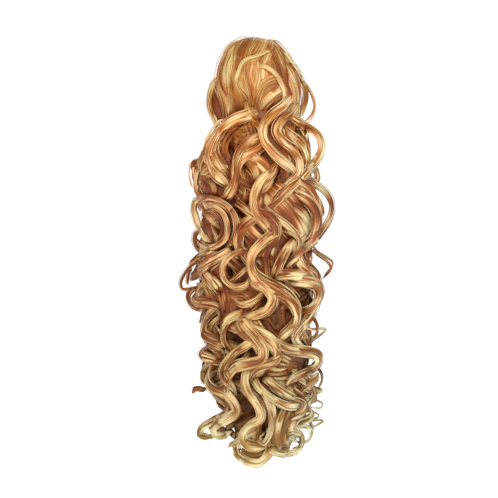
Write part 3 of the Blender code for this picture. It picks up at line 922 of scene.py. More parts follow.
def tubes_on(path, wide, high, tone, place, layer, own, rng, mixed, sides, flat, fray, ridge=0.0):
    """Tubes that run along a path: points, map and tones.

    place is a tube's place across the lock and layer its place through it, both from -1 to 1, and own its
    width. A tube drifts slowly from its place, and ends a little before or after its neighbours, by fray.
    Its section is an oval, flat times as thick as it is wide, with a ridge on every second corner, that
    rolls with its place and narrows to its root and tip. Its shade is tone, plus a random amount of the
    size mixed, plus painted shade that lowers the sunk corners and raises the ridges, and a painted sheen
    that swells and fades along it as the shine on satin bends does.
    """
    centre, face, at = path
    along = unit(np.gradient(centre, axis=0))
    out = unit(face - (face * along).sum(axis=-1, keepdims=True) * along)
    across = np.cross(along, out)
    steps = len(centre)
    count = len(place)
    end = 1 - fray * rng.random(count) ** 1.5
    share = np.linspace(0, 1, steps)[None, :] * end[:, None]
    grid = share * (steps - 1)
    low = np.clip(grid.astype(int), 0, steps - 2)
    part = (grid - low)[..., None]
    line, across, out = (v[low] * (1 - part) + v[low + 1] * part for v in (centre, across, out))
    distance = share * at[-1]
    beat = rng.uniform(*DRIFT_BEAT, (4, count, 1))
    start = rng.uniform(0, 2 * math.pi, (4, count, 1))
    drift = np.sin(2 * math.pi * distance[None] / beat + start)
    spread = grown(share, *ROOT_SPREAD) * grown(1 - share, *TIP_SPREAD)
    offset = wide / 2 * spread * (place[:, None] + DRIFT_ASIDE * drift[0])
    rise = high / 2 * spread * (layer[:, None] + DRIFT_THROUGH * drift[1] - EDGE_SAG * place[:, None] ** 2)
    roll = ROLL * place[:, None] + DRIFT_ROLL * drift[2]
    line = line + offset[..., None] * across + rise[..., None] * out
    flat_way = np.cos(roll)[..., None] * across - np.sin(roll)[..., None] * out
    thick_way = np.sin(roll)[..., None] * across + np.cos(roll)[..., None] * out
    to_tip = np.minimum(1, TIP_TAPER[0] + TIP_TAPER[1] * (end[:, None] - share) / end[:, None])
    taper = to_tip * grown(share, *ROOT_TAPER)
    half = own[:, None] / 2 * (1 + DRIFT_WIDTH * drift[3]) * taper
    turn = np.linspace(0, 2 * math.pi, sides, endpoint=False)
    ridged = np.where(np.arange(sides) % 2, -ridge, ridge)
    reach_out = half[..., None] * (1 + ridged)
    points = (
        line[:, :, None]
        + (reach_out * np.cos(turn))[..., None] * flat_way[:, :, None]
        + (flat * reach_out * np.sin(turn))[..., None] * thick_way[:, :, None]
    )
    u = rng.uniform(0, MAP_SPREAD) + place[:, None, None] * wide / 2 + half[..., None] * np.cos(turn)
    u = u + rng.uniform(0, TUBE_MAP_SPREAD, (count, 1, 1))
    v = distance[..., None] + 0 * u
    # Painted sheen and shade: the tone swells and fades along the tube for the shine on satin bends, and is
    # lower on the sunk corners.
    shine = PAINTED_SHEEN_SWING * np.sin(2 * math.pi * (v / rng.uniform(*PAINTED_SHEEN_BEAT) + rng.random()))
    shine = shine + 0.5 * PAINTED_SHEEN_SWING * drift[0][..., None]
    tones = tone + rng.normal(0, mixed, (count, 1, 1)) + RIDGE_PAINTED_SHADE * ridged + shine
    return points, np.stack([u, v], axis=-1), tones


def lock_of(path, wide, high, tone, rng, strands, fray=LOCK_FRAY, sides=LOCK_SIDES):
    """A lock as tubes: one broad flat body, tresses half sunk in it, and strands a few fibres thick."""
    own = np.array([BODY_SHARE * wide])
    layer = np.array([BODY_LAYER])
    body = tubes_on(path, wide, high, tone, np.zeros(1), layer, own, rng, sides=sides, **BODY_MAKE)
    count = max(2, round(strands * TRESSES_EACH))
    place = np.linspace(-TRESS_REACH, TRESS_REACH, count) + rng.uniform(-TRESS_JITTER, TRESS_JITTER, count)
    layer = rng.uniform(*TRESS_LAYERS, count)
    own = TRESS_SHARE * wide * rng.uniform(*TRESS_SIZES, count)
    tresses = tubes_on(path, wide, high, tone, place, layer, own, rng, fray=fray, **TRESS_MAKE)
    count = max(2, round(strands * STRANDS_EACH))
    place = np.linspace(-STRAND_REACH, STRAND_REACH, count) + rng.uniform(
        -STRAND_JITTER, STRAND_JITTER, count
    )
    layer = rng.uniform(*STRAND_LAYERS, count)
    own = rng.uniform(*STRAND_WIDTHS, count)
    bright = tone + STRAND_TONE
    thin = tubes_on(
        path, wide, high, bright, place, layer, own, rng, fray=STRAND_FRAY * fray, **STRAND_MAKE
    )
    return [body, tresses, thin]


ROUND = 0.18
# Painted sheen: how far the tone swells along a lock, and the lengths over which it swells and fades.
PAINTED_SHEEN_SWING = 0.60
PAINTED_SHEEN_BEAT = (0.035, 0.060)
LOCK_STEP = 0.0042
STRAND_MM = 1.7
FRONT_SEED = 100
FRONT_LOCKS = (
    ("bottom_inner", 9, 4, 0.40, 1, 0.20, 1, 0.0, ((4, -366), (18, -405), (-1, -430), (14, -441))),
    ("loop", 10, 5, 0.35, 1, 0.12, 1, -0.10, ((21, -93), (-6, -145), (50, -194), (30, -233), (50, -263))),
    ("slant", 12, 5, 0.30, 1, 0.12, 1, 0.0,
     ((-20, -76), (13, -117), (-9, -149), (22, -180), (-10, -221), (48, -279), (21, -316), (74, -334),
      (38, -363), (56, -388))),
    ("centre_left", 12, 5, 0.30, -1, 0.10, 1, -0.15,
     ((-16, -24), (5, -68), (-28, -108), (4, -145), (-26, -190), (4, -224))),
    ("right_outer", 12, 5, 0.40, 1, 0.10, 0, -0.15,
     ((34, -102), (68, -150), (52, -204), (72, -249), (49, -290), (62, -327))),
    (
        "right_light",
        12,
        5,
        0.30,
        1,
        0.10,
        1,
        0.05,
        ((30, -112), (71, -168), (30, -229), (74, -254), (32, -307)),
    ),
    ("left_low", 12, 5, 0.50, -1, 0.30, 0, -0.20,
     ((-38, -202), (-79, -260), (-45, -278), (-68, -301), (-39, -325), (-69, -330), (-43, -346))),
    (
        "left_lower",
        11,
        5,
        0.50,
        -1,
        0.20,
        0,
        -0.10,
        ((-40, -307), (-63, -358), (-27, -395), (-61, -418), (-32, -428)),
    ),
    ("centre_low", 13, 5, 0.30, 1, 0.15, 2, -0.05,
     ((-11, -236), (20, -262), (-26, -291), (4, -327), (-43, -349), (-26, -383))),
    (
        "centre_ring",
        10,
        4,
        0.50,
        1,
        0.40,
        1,
        -0.05,
        ((-18, -271), (-44, -302), (-11, -327), (-40, -366), (-28, -397)),
    ),
    ("bottom_centre", 12, 5, 0.35, 1, 0.15, 2, 0.10,
     ((-12, -285), (23, -324), (-20, -360), (6, -399), (-20, -430), (10, -446))),
    (
        "bottom_right",
        10,
        5,
        0.35,
        1,
        0.10,
        1,
        0.10,
        ((26, -327), (-12, -356), (56, -388), (30, -417), (55, -430)),
    ),
    (
        "right_bottom",
        10,
        5,
        0.45,
        1,
        0.25,
        1,
        0.0,
        ((72, -351), (46, -380), (65, -400), (38, -427), (52, -438)),
    ),
)


tubes = []
for number, row in enumerate(FRONT_LOCKS):
    lock = dict(zip(LOCK_COLUMNS, row))
    rng = np.random.default_rng(FRONT_SEED + number)
    path = winding_path(
        lock["turns"], lock["deep"], lock["hand"], lock["lean"], lock["lift"] / 1000, LOCK_STEP
    )
    strands = round(lock["wide"] / STRAND_MM)
    tubes += lock_of(path, lock["wide"] / 1000, lock["high"] / 1000, lock["tone"], rng, strands)
show("front_locks", hair_mesh("front_locks", tubes), curled_fibre, "hair_fall")

# Curled locks on the front's face. These lie over the rest: wide satin bends, rings and tips that bend the
# way the curls were set. A row gives points on the lock from root to tip, in mm right of and above the
# origin, its width in mm, how far it lies over the mass, its shade, and 1 where its tip is free, as 0
# has both ends tucked in. A shade is the lock's own colour with painted light in it: the creamiest are
# partly painted highlight where a bend comes forward, and the darkest are painted shade.
FACE_COLUMNS = ("name", "wide", "lift", "tone", "free", "points")
FACE_LOCKS = (
    ("sweep_left", 12, 6, 0.25, 0,
     ((-1, -35), (-15, -41), (-28, -45), (-40, -52), (-49, -62), (-56, -76), (-59, -90), (-55, -105),
      (-45, -117), (-35, -127))),
    ("left_inside", 10, 3, 0.10, 0,
     ((-26, -45), (-38, -52), (-48, -61), (-55, -72), (-57, -84), (-52, -96), (-44, -107), (-34, -118))),
    ("left_outside", 9, 2, -0.10, 0,
     ((-45, -54), (-52, -63), (-60, -76), (-66, -85), (-72, -96), (-73, -108), (-72, -119), (-65, -128))),
    ("left_copper", 9, 3, -0.50, 0,
     ((-67, -89), (-73, -96), (-74, -106), (-68, -116), (-60, -126), (-52, -135))),
    ("left_light_edge", 5, 3, 0.50, 0,
     ((-74, -100), (-77, -112), (-78, -124), (-76, -133), (-67, -140))),
    ("left_mauve_ring", 5, 2, -0.15, 0,
     ((-77, -122), (-67, -118), (-59, -122), (-54, -130), (-56, -139))),
    ("left_streak", 4, 5, 0.75, 0,
     ((-66, -85), (-59, -98), (-50, -108), (-41, -119), (-35, -129))),
    ("arc_dark", 10, 8, -0.30, 0,
     ((6, -63), (-9, -72), (-21, -84), (-27, -99), (-28, -115), (-32, -129), (-43, -144))),
    ("stripes", 15, 2, 0.05, 0, ((-18, -80), (-10, -93), (-2, -106), (4, -121))),
    ("cream_strip", 5, 4, 0.80, 0, ((-6, -80), (0, -93), (6, -105), (11, -117))),
    ("curl_mid", 9, 8, 0.40, 0,
     ((23, -101), (12, -110), (1, -121), (-5, -134), (-6, -149), (0, -162), (9, -173), (17, -184))),
    ("centre_s", 10, 9, 0.45, 0,
     ((40, -17), (30, -29), (15, -40), (5, -54), (5, -68), (15, -83), (27, -95), (39, -105), (46, -117))),
    ("right_fall", 10, 5, 0.20, 0,
     ((48, -24), (40, -35), (27, -46), (21, -59), (29, -72), (41, -83), (49, -96), (48, -110), (38, -123),
      (26, -137), (13, -150), (1, -163))),
    ("right_return", 12, 7, 0.10, 0,
     ((35, -38), (46, -45), (57, -51), (67, -57), (74, -67), (76, -79), (72, -90), (61, -104), (48, -118),
      (34, -130), (20, -145), (5, -161))),
    ("right_inner", 9, 4, 0.35, 0,
     ((27, -55), (38, -65), (49, -74), (56, -85), (57, -98), (49, -111))),
    ("right_side", 8, 0, 0.00, 0,
     ((65, -93), (69, -104), (72, -113), (69, -122))),
    ("right_arc", 9, 2, -0.10, 0,
     ((40, -107), (55, -116), (69, -122), (82, -132), (89, -145), (88, -160), (79, -176), (68, -191),
      (59, -204))),
    ("right_arc_in", 6, 3, 0.05, 0,
     ((51, -121), (63, -129), (72, -140), (77, -152), (76, -165))),
    ("right_slant", 9, 5, 0.40, 0,
     ((35, -119), (49, -133), (63, -145), (72, -157), (73, -172), (69, -188), (61, -202))),
    ("panel", 32, 1, -0.05, 0, ((11, -129), (26, -146), (40, -163), (54, -180), (61, -195))),
    ("panel_edge", 6, 4, 0.55, 0, ((4, -150), (17, -161), (32, -171), (43, -182), (51, -194))),
    ("cross_tan", 9, 5, 0.20, 0, ((-28, -145), (-15, -155), (-1, -166), (10, -177), (18, -188))),
    ("copper_band", 15, 2, -0.20, 0, ((-23, -168), (-11, -179), (1, -189), (13, -197))),
    ("left_edge_tan", 9, 4, 0.15, 0, ((-16, -173), (-24, -185), (-24, -199), (-16, -211), (-7, -222))),
    ("ring_outer", 7, 4, -0.20, 0,
     ((-71, -150), (-59, -145), (-45, -146), (-34, -154), (-28, -167), (-27, -180), (-32, -193),
      (-41, -200))),
    ("ring_middle", 6, 7, 0.45, 0,
     ((-68, -154), (-56, -150), (-46, -155), (-40, -165), (-38, -177), (-40, -188), (-49, -196),
      (-60, -200), (-69, -197), (-77, -190), (-80, -179))),
    ("ring_cream", 9, 6, 0.60, 0,
     ((-66, -140), (-77, -143), (-80, -150), (-78, -162), (-74, -173), (-68, -183), (-62, -190),
      (-55, -195))),
    ("ring_inner", 5, 1, 0.50, 0,
     ((-60, -168), (-56, -178), (-52, -187), (-50, -195))),
    ("ring_top", 8, 5, 0.10, 0,
     ((-30, -162), (-39, -150), (-51, -143), (-63, -140), (-72, -145), (-72, -156))),
    ("ring_brown", 5, 5, -0.45, 0,
     ((-68, -157), (-57, -155), (-49, -161), (-44, -172), (-45, -184), (-51, -194))),
    ("ring_copper", 6, 0, -0.30, 0,
     ((-68, -163), (-65, -176), (-59, -189))),
    # Painted shade: a dark lock sunk into the ring's middle, standing for the shade in its hollow.
    ("ring_dark", 17, -4, -1.50, 0,
     ((-62, -149), (-59, -161), (-56, -174), (-55, -188), (-52, -200))),
    ("ring_under", 7, 2, -0.25, 0,
     ((-74, -177), (-79, -187), (-78, -196), (-71, -204), (-60, -210))),
    # Painted highlight, partly: a light shade where the fold bulges forward.
    ("bright_fold", 11, 8, 0.60, 0,
     ((60, -177), (50, -190), (46, -205), (50, -218), (60, -228), (69, -238), (73, -251), (68, -265))),
    ("fold_copper", 10, 5, 0.00, 0, ((49, -185), (37, -197), (28, -211), (22, -224), (17, -239))),
    ("right_band", 11, 7, 0.25, 0,
     ((16, -234), (29, -232), (45, -232), (60, -235), (69, -244), (72, -257), (68, -272), (59, -285),
      (50, -297), (43, -310))),
    ("copper_cross", 11, 6, -0.05, 0,
     ((-1, -240), (13, -250), (29, -260), (41, -271), (45, -283), (38, -295), (26, -306), (17, -316))),
    ("low_sweep", 11, 8, 0.25, 0,
     ((11, -304), (21, -313), (37, -321), (52, -324), (66, -328), (74, -336), (68, -345), (55, -350),
      (41, -357), (30, -368))),
    ("fall_light", 9, 5, 0.40, 0,
     ((69, -268), (60, -282), (50, -295), (43, -307), (49, -318), (61, -325))),
    ("light_s", 10, 7, 0.50, 0,
     ((29, -179), (15, -185), (1, -195), (-9, -208), (-10, -223), (-2, -238), (10, -249), (16, -261),
      (10, -273), (-5, -280), (-22, -285))),
    ("copper_arc", 7, 3, -0.10, 0, ((6, -239), (4, -252), (-6, -263), (-20, -267), (-29, -262))),
    ("ring_two", 6, 8, 0.25, 0,
     ((-11, -202), (-26, -205), (-38, -212), (-44, -226), (-40, -239), (-29, -246), (-16, -244),
      (-10, -233))),
    ("ring_two_inner", 5, 4, 0.35, 0, ((-38, -244), (-29, -236), (-21, -229), (-12, -222))),
    ("light_drop", 12, 9, 0.35, 0,
     ((-26, -283), (-15, -294), (-4, -307), (5, -321), (4, -332), (-9, -338), (-24, -341), (-38, -350))),
    ("light_drop_two", 9, 6, 0.45, 0, ((-9, -284), (2, -297), (12, -311), (21, -324), (26, -338))),
    (
        "bow_tan",
        9,
        8,
        0.10,
        0,
        ((-4, -307), (-16, -316), (-29, -324), (-39, -335), (-45, -350), (-43, -364)),
    ),
    ("small_ring", 4, 9, 0.40, 0, ((-20, -285), (-33, -285), (-41, -294), (-45, -306), (-40, -321))),
    ("small_ring_inner", 7, 4, -0.05, 0, ((-40, -290), (-30, -296), (-20, -300))),
    ("left_slant", 10, 5, 0.05, 0, ((-32, -202), (-46, -210), (-61, -218), (-74, -228), (-85, -240))),
    ("left_slant_two", 7, 3, -0.15, 0, ((-52, -200), (-65, -205), (-77, -212), (-86, -223))),
    ("left_hook", 4, 6, -0.05, 0,
     ((-68, -211), (-83, -221), (-92, -232), (-96, -244), (-94, -250), (-84, -250), (-69, -247))),
    ("left_hook_in", 3, 5, -0.15, 0,
     ((-83, -224), (-87, -234), (-88, -245))),
    ("left_ring", 7, 4, -0.25, 0,
     ((-76, -247), (-84, -252), (-87, -262), (-82, -271), (-73, -274), (-62, -273))),
    ("left_ring_inner", 5, 3, 0.20, 0, ((-77, -244), (-66, -247), (-61, -256), (-67, -266), (-78, -263))),
    ("left_bow", 10, 5, -0.05, 0,
     ((-51, -271), (-61, -280), (-67, -293), (-66, -306), (-56, -316), (-41, -324))),
    ("left_bow_two", 7, 3, 0.10, 0, ((-45, -283), (-57, -293), (-60, -304), (-50, -313), (-38, -318))),
    ("left_loop", 7, 5, -0.25, 0,
     ((-43, -317), (-57, -321), (-68, -323), (-72, -330), (-65, -336), (-52, -338), (-39, -340))),
    ("left_cup", 5, 5, 0.10, 0,
     ((-45, -336), (-61, -340), (-69, -352), (-68, -363), (-56, -367), (-44, -361), (-40, -349))),
    ("left_low", 9, 4, 0.05, 0,
     ((-66, -361), (-57, -369), (-48, -378), (-38, -386), (-38, -395), (-48, -405), (-60, -413),
      (-71, -421), (-73, -427), (-63, -430), (-49, -430))),
    ("left_low_cream", 11, 7, 0.65, 0,
     ((-49, -364), (-40, -375), (-32, -386), (-28, -396), (-38, -405), (-50, -412), (-57, -421),
      (-54, -428), (-44, -428), (-33, -421))),
    ("bottom_s", 9, 9, 0.45, 0,
     ((-4, -338), (-15, -346), (-18, -357), (-15, -369), (-6, -382), (1, -393), (2, -405), (-7, -411),
      (-16, -418), (-21, -429), (-16, -439), (-5, -442), (6, -440), (13, -430))),
    ("bottom_slant", 8, 7, 0.60, 0,
     ((-11, -350), (-4, -363), (7, -374), (21, -384), (34, -390), (48, -390), (60, -384), (68, -374))),
    ("bottom_copper", 11, 4, -0.05, 0, ((4, -354), (17, -364), (30, -374), (44, -383), (57, -389))),
    ("right_low", 10, 5, 0.20, 0,
     ((38, -346), (51, -356), (63, -366), (68, -378), (59, -390), (48, -402), (39, -417), (37, -432))),
    ("bottom_brown", 20, 2, -0.25, 0,
     ((43, -385), (33, -399), (27, -414), (24, -430), (27, -445))),
    ("bottom_inner", 5, 8, 0.30, 0,
     ((-7, -350), (-1, -364), (7, -378), (13, -393), (15, -408), (13, -423), (7, -435), (-4, -442))),
    ("bottom_ring", 7, 7, 0.35, 0,
     ((33, -422), (43, -421), (50, -425), (54, -435), (51, -444), (41, -449), (29, -450), (17, -446))),
    ("bottom_ring_small", 5, 4, -0.10, 0,
     ((37, -445), (35, -435), (41, -428), (49, -428), (52, -435), (49, -444), (40, -445))),
    ("bottom_cream", 6, 6, 0.70, 0,
     ((32, -423), (43, -418), (52, -416), (61, -419), (65, -428))),
    ("low_side", 7, 2, -0.20, 0,
     ((52, -369), (63, -375), (69, -383), (66, -391))),
    ("bottom_band", 8, 8, 0.45, 0,
     ((11, -441), (20, -447), (30, -450), (43, -449), (52, -442))),
    ("bottom_bow", 4, 3, 0.50, 0,
     ((48, -400), (59, -407), (65, -419), (63, -432), (54, -441))),
    ("bottom_swirl", 11, 7, 0.30, 0,
     ((-28, -435), (-26, -450), (-15, -458), (0, -460), (11, -451), (17, -438))),
    ("bottom_tip", 7, 5, 0.15, 1,
     ((18, -442), (12, -453), (1, -461), (-11, -462), (-23, -457), (-33, -451))),
    # Painted shade: a dark lock standing for the shade in the hollow between the bottom curls.
    ("bottom_dark", 14, 0, -1.30, 0,
     ((-4, -410), (-4, -422), (-4, -435))),
    ("bottom_fill", 9, 3, -0.60, 0,
     ((-21, -445), (-12, -450), (-2, -451), (9, -445))),
    ("pointed_tip", 5, 4, -0.30, 1, ((-20, -416), (-23, -428), (-30, -436), (-40, -444))),
)
FACE_TUCK = 0.012
FACE_SWAY = 0.0015
FACE_TURN = 0.5
FACE_FORWARD = 1.6
FULL_BEND = 60.0
FACE_LOWER = -0.215
FACE_HIGH = 0.0035
FACE_FRAY = 0.05
FACE_STEP = 0.8 * LOCK_STEP
FACE_SEED = 500
SWAY_BEAT = 0.045
PATH_STEPS = 300
TUCK_RATE = 5
LEAST_FRONT = 0.005


def laid_path(points_mm, lift, tuck_root, tuck_tip, step, rng):
    """A lock on the hair's front: its line, its broad side's direction and the distance along it.

    It runs on a smooth curve through the points and stands lift in front of the hair's outside, with a slow
    sway. The ends go in by their tucks, over a fifth of the length. The broad side faces out and forward,
    and into each bend.
    """
    points = np.array(points_mm, float) / 1000
    run = np.concatenate([[0], np.cumsum(np.linalg.norm(np.diff(points, axis=0), axis=1))])
    at = np.linspace(0, run[-1], PATH_STEPS)
    share = at / run[-1]
    x = eased(at, run, points[:, 0])
    z = eased(at, run, points[:, 1])
    y = front_of(x, z)
    wide = np.where(x > 0, reach(z, "right"), reach(z, "left"))
    deep = reach(z, "front") + reach(z, "middle")
    out_y = (y - reach(z, "middle")) / np.maximum(deep, LEAST_FRONT) ** 2
    out = unit(np.stack([x / wide**2, out_y, 0 * z], axis=-1))
    near_root, near_tip = end_tucks(share, TUCK_RATE, TUCK_RATE)
    tuck = tuck_root * near_root + tuck_tip * near_tip
    sway = FACE_SWAY * np.sin(2 * math.pi * (at / SWAY_BEAT + rng.random()))
    centre = np.stack([x, y - lift + tuck - sway, z], axis=-1)
    along = unit(np.gradient(centre, axis=0))
    bend = np.gradient(along, axis=0) / np.gradient(at)[:, None]
    bend = bend / np.maximum(np.linalg.norm(bend, axis=1, keepdims=True), FULL_BEND)
    return even_steps(centre, out - FACE_TURN * bend + FACE_FORWARD * np.array([0, -1, 0]), step)


groups = {"face_locks_upper": [], "face_locks_lower": []}
for number, row in enumerate(FACE_LOCKS):
    lock = dict(zip(FACE_COLUMNS, row))
    rng = np.random.default_rng(FACE_SEED + number)
    tip = 0.0 if lock["free"] else FACE_TUCK
    path = laid_path(lock["points"], lock["lift"] / 1000, FACE_TUCK, tip, FACE_STEP, rng)
    wide = lock["wide"] / 1000
    strands = 2 + round(lock["wide"] / STRAND_MM)
    made = lock_of(path, wide, FACE_HIGH, lock["tone"], rng, strands, FACE_FRAY)
    upper = np.mean([point[1] for point in lock["points"]]) > 1000 * FACE_LOWER
    groups["face_locks_upper" if upper else "face_locks_lower"] += made
for name, tubes in groups.items():
    show(name, hair_mesh(name, tubes), curled_fibre, "hair_fall")

# Tresses on the bands. Thin flat tresses of the looser hair, which lie along each raised band of the layer
# under the curls and cross its width evenly, so that the layer shows separate bundles.
BAND_LIFT = 0.001
BAND_TRESS_MM = 3.5
BAND_REACH = 0.85
BAND_JITTER = 0.1
BAND_LAYERS = (-0.5, 0.5)
BAND_OVERLAP = 1.25
BAND_HIGH = 0.003
BAND_SEED = 900
BAND_MAKE = {"mixed": 0.3, "sides": 6, "flat": 0.35, "fray": 0.2}
tubes = []
for number, row in enumerate(UNDER_BANDS):
    band = dict(zip(BAND_COLUMNS, row))
    if band["high"] > 0:
        rng = np.random.default_rng(BAND_SEED + number)
        lift = UNDER_RELIEF * band["high"] / 1000 - UNDER_INSET + BAND_LIFT
        path = laid_path(band["points"], lift, FACE_TUCK / 2, FACE_TUCK / 2, LOCK_STEP, rng)
        wide = band["wide"] / 1000
        count = max(2, round(band["wide"] / BAND_TRESS_MM))
        place = np.linspace(-BAND_REACH, BAND_REACH, count) + rng.uniform(-BAND_JITTER, BAND_JITTER, count)
        own = BAND_OVERLAP * band["wide"] / 1000 / count * rng.uniform(*TRESS_SIZES, count)
        layer = rng.uniform(*BAND_LAYERS, count)
        tubes.append(tubes_on(path, wide, BAND_HIGH, band["tone"], place, layer, own, rng, **BAND_MAKE))
show("band_locks", hair_mesh("band_locks", tubes), curled_fibre, "hair_fall")

# Loose ends. Thin tresses that stand away from the fall's sides and tip, each a few fibres thick. They come
# from the side locks and hang free, so they belong to no solid. Width in mm, shade and points as for the
# locks above.
LOOSE_COLUMNS = ("name", "wide", "tone", "points")
LOOSE_LOCKS = (
    ("right_thread", 4, 0.15,
     ((55, 5), (62, -4), (67, -15), (69, -26), (67, -34), (61, -43), (52, -49))),
    ("right_hook", 4, -0.30,
     ((65, -202), (71, -207), (78, -212), (85, -218), (88, -224), (84, -230), (77, -238))),
    ("right_hook_two", 2, -0.10,
     ((66, -199), (73, -205), (83, -211), (90, -217), (88, -227))),
    ("right_bow", 4, -0.50,
     ((65, -283), (71, -293), (71, -304), (63, -313))),
    ("right_point", 2.5, 0.20,
     ((52, -294), (66, -299), (82, -299), (73, -307), (63, -315))),
    ("low_bow", 3, -0.50,
     ((72, -346), (77, -354), (77, -362), (72, -371))),
    ("low_thread_one", 2.5, 0.20,
     ((61, -385), (72, -386), (78, -390), (76, -395), (62, -394))),
    ("low_thread_two", 3, 0.35,
     ((55, -399), (67, -400), (73, -405), (69, -408), (57, -403))),
    ("low_thread_three", 2.5, 0.35,
     ((60, -411), (79, -411), (71, -416), (61, -422))),
    ("left_tip", 6, -0.10,
     ((-65, -374), (-73, -372), (-79, -372), (-82, -378))),
    ("low_thread_four", 3, 0.20,
     ((57, -367), (68, -371), (77, -373), (69, -378), (56, -379))),
)
LOOSE_STEP = 0.0022
LOOSE_TUCK = 0.004
LOOSE_FLAT = 0.6
LOOSE_STRANDS = 3
LOOSE_SIDES = 6
LOOSE_SEED = 300
tubes = []
for number, row in enumerate(LOOSE_LOCKS):
    lock = dict(zip(LOOSE_COLUMNS, row))
    rng = np.random.default_rng(LOOSE_SEED + number)
    path = laid_path(lock["points"], 0.0, LOOSE_TUCK, 0.0, LOOSE_STEP, rng)
    wide = lock["wide"] / 1000
    tubes += lock_of(
        path, wide, LOOSE_FLAT * wide, lock["tone"], rng, LOOSE_STRANDS, LOCK_FRAY, LOOSE_SIDES
    )
show("loose_ends", hair_mesh("loose_ends", tubes), curled_fibre)

# Curled locks, sides and back, and those under the front ones. They wind both ways round lines that follow
# the mass, in curls that tighten from 104 mm long at the top to 62 mm at the tips. A spiral's row gives how
# many locks it has, from which angle round the hair to which, in degrees, how far their axes lie inside the
# outside, and their swing, width, thickness, strands, shade, step and sides.
PITCH_TOP = 0.104
PITCH_TIP = 0.062
SPIRAL_ROOT = -0.050
ROOT_HEIGHTS = (-0.006, 0.004)
TIP_HEIGHTS = (-0.452, -0.395)
TURN_SPREAD = (-4, 4)
INSET_SPREAD = (-0.003, 0.003)
SWING_SIZES = (0.8, 1.2)
SPIRAL_LEANS = (0.1, 0.7)
SPIRAL_SIZES = (0.75, 1.2)
SPIRAL_MIX = 0.12
SPIRAL_STEPS = 400
SPIRAL_GROWTH = (0.35, 5)
SPIRAL_SHRINK = 0.25
SPIRAL_SEED = 1000
GROUP_SEED = 100
SPIRAL_COLUMNS = (
    "name", "count", "first", "last", "inset", "swing", "wide", "high", "strands", "tone", "step", "sides",
)
SPIRAL_LOCKS = (
    # Painted shade: the locks under the front ones and the deep locks have lower shades for their place
    # inside the hair.
    ("under_front_locks", 13, -76, 76, 0.008, 0.018, 0.014, 0.005, 4, -0.25, 0.0060, 6),
    ("side_locks_right", 6, 66, 118, 0.004, 0.018, 0.017, 0.006, 5, -0.05, 0.0055, 6),
    ("side_locks_left", 6, -64, -118, 0.002, 0.019, 0.017, 0.006, 5, -0.10, 0.0055, 6),
    ("back_locks", 9, 128, 232, 0.000, 0.019, 0.019, 0.006, 5, -0.05, 0.0060, 6),
    ("deep_locks", 16, 0, 337, 0.017, 0.015, 0.017, 0.005, 2, -0.40, 0.0085, 6),
)


def spiral_path(angle, top, tip, inset, swing, hand, lean, start, step):
    """Centre line of a spiral lock, its broad side's direction and the distance along it.

    It winds with the swing as radius round a line at that angle on the mass. Its turns follow from the
    pitch, which shrinks evenly from root to tip, and lean tips each turn.
    """
    z = np.linspace(top, tip, SPIRAL_STEPS)
    share = (z - z[0]) / (z[-1] - z[0])
    turns = (z[0] - z[-1]) * (share / PITCH_TOP + share**2 / 2 * (1 / PITCH_TIP - 1 / PITCH_TOP))
    phase = 2 * math.pi * hand * turns + start
    radius = swing * grown(share, *SPIRAL_GROWTH) * (1 - SPIRAL_SHRINK * share)
    axis = on_mass(z, np.full_like(z, angle), inset + radius)
    outward = np.array([math.sin(angle), -math.cos(angle), 0])
    sideways = np.array([math.cos(angle), math.sin(angle), 0])
    arm = np.cos(phase)[:, None] * sideways + np.sin(phase)[:, None] * outward
    lifted = arm + lean * np.sin(phase)[:, None] * np.array([0, 0, 1])
    return even_steps(axis + radius[:, None] * lifted, arm, step)


for group, row in enumerate(SPIRAL_LOCKS):
    kind = dict(zip(SPIRAL_COLUMNS, row))
    tubes = []
    for number, degrees in enumerate(np.linspace(kind["first"], kind["last"], kind["count"])):
        rng = np.random.default_rng(SPIRAL_SEED + GROUP_SEED * group + number)
        path = spiral_path(
            math.radians(degrees + rng.uniform(*TURN_SPREAD)),
            SPIRAL_ROOT + rng.uniform(*ROOT_HEIGHTS),
            rng.uniform(*TIP_HEIGHTS),
            kind["inset"] + rng.uniform(*INSET_SPREAD),
            kind["swing"] * rng.uniform(*SWING_SIZES),
            1 if number % 2 else -1,
            rng.uniform(*SPIRAL_LEANS),
            rng.uniform(0, 2 * math.pi),
            kind["step"],
        )
        wide = kind["wide"] * rng.uniform(*SPIRAL_SIZES)
        tone = kind["tone"] + rng.normal(0, SPIRAL_MIX)
        tubes += lock_of(path, wide, kind["high"], tone, rng, kind["strands"], LOCK_FRAY, kind["sides"])
    show(kind["name"], hair_mesh(kind["name"], tubes), curled_fibre, "hair_fall")

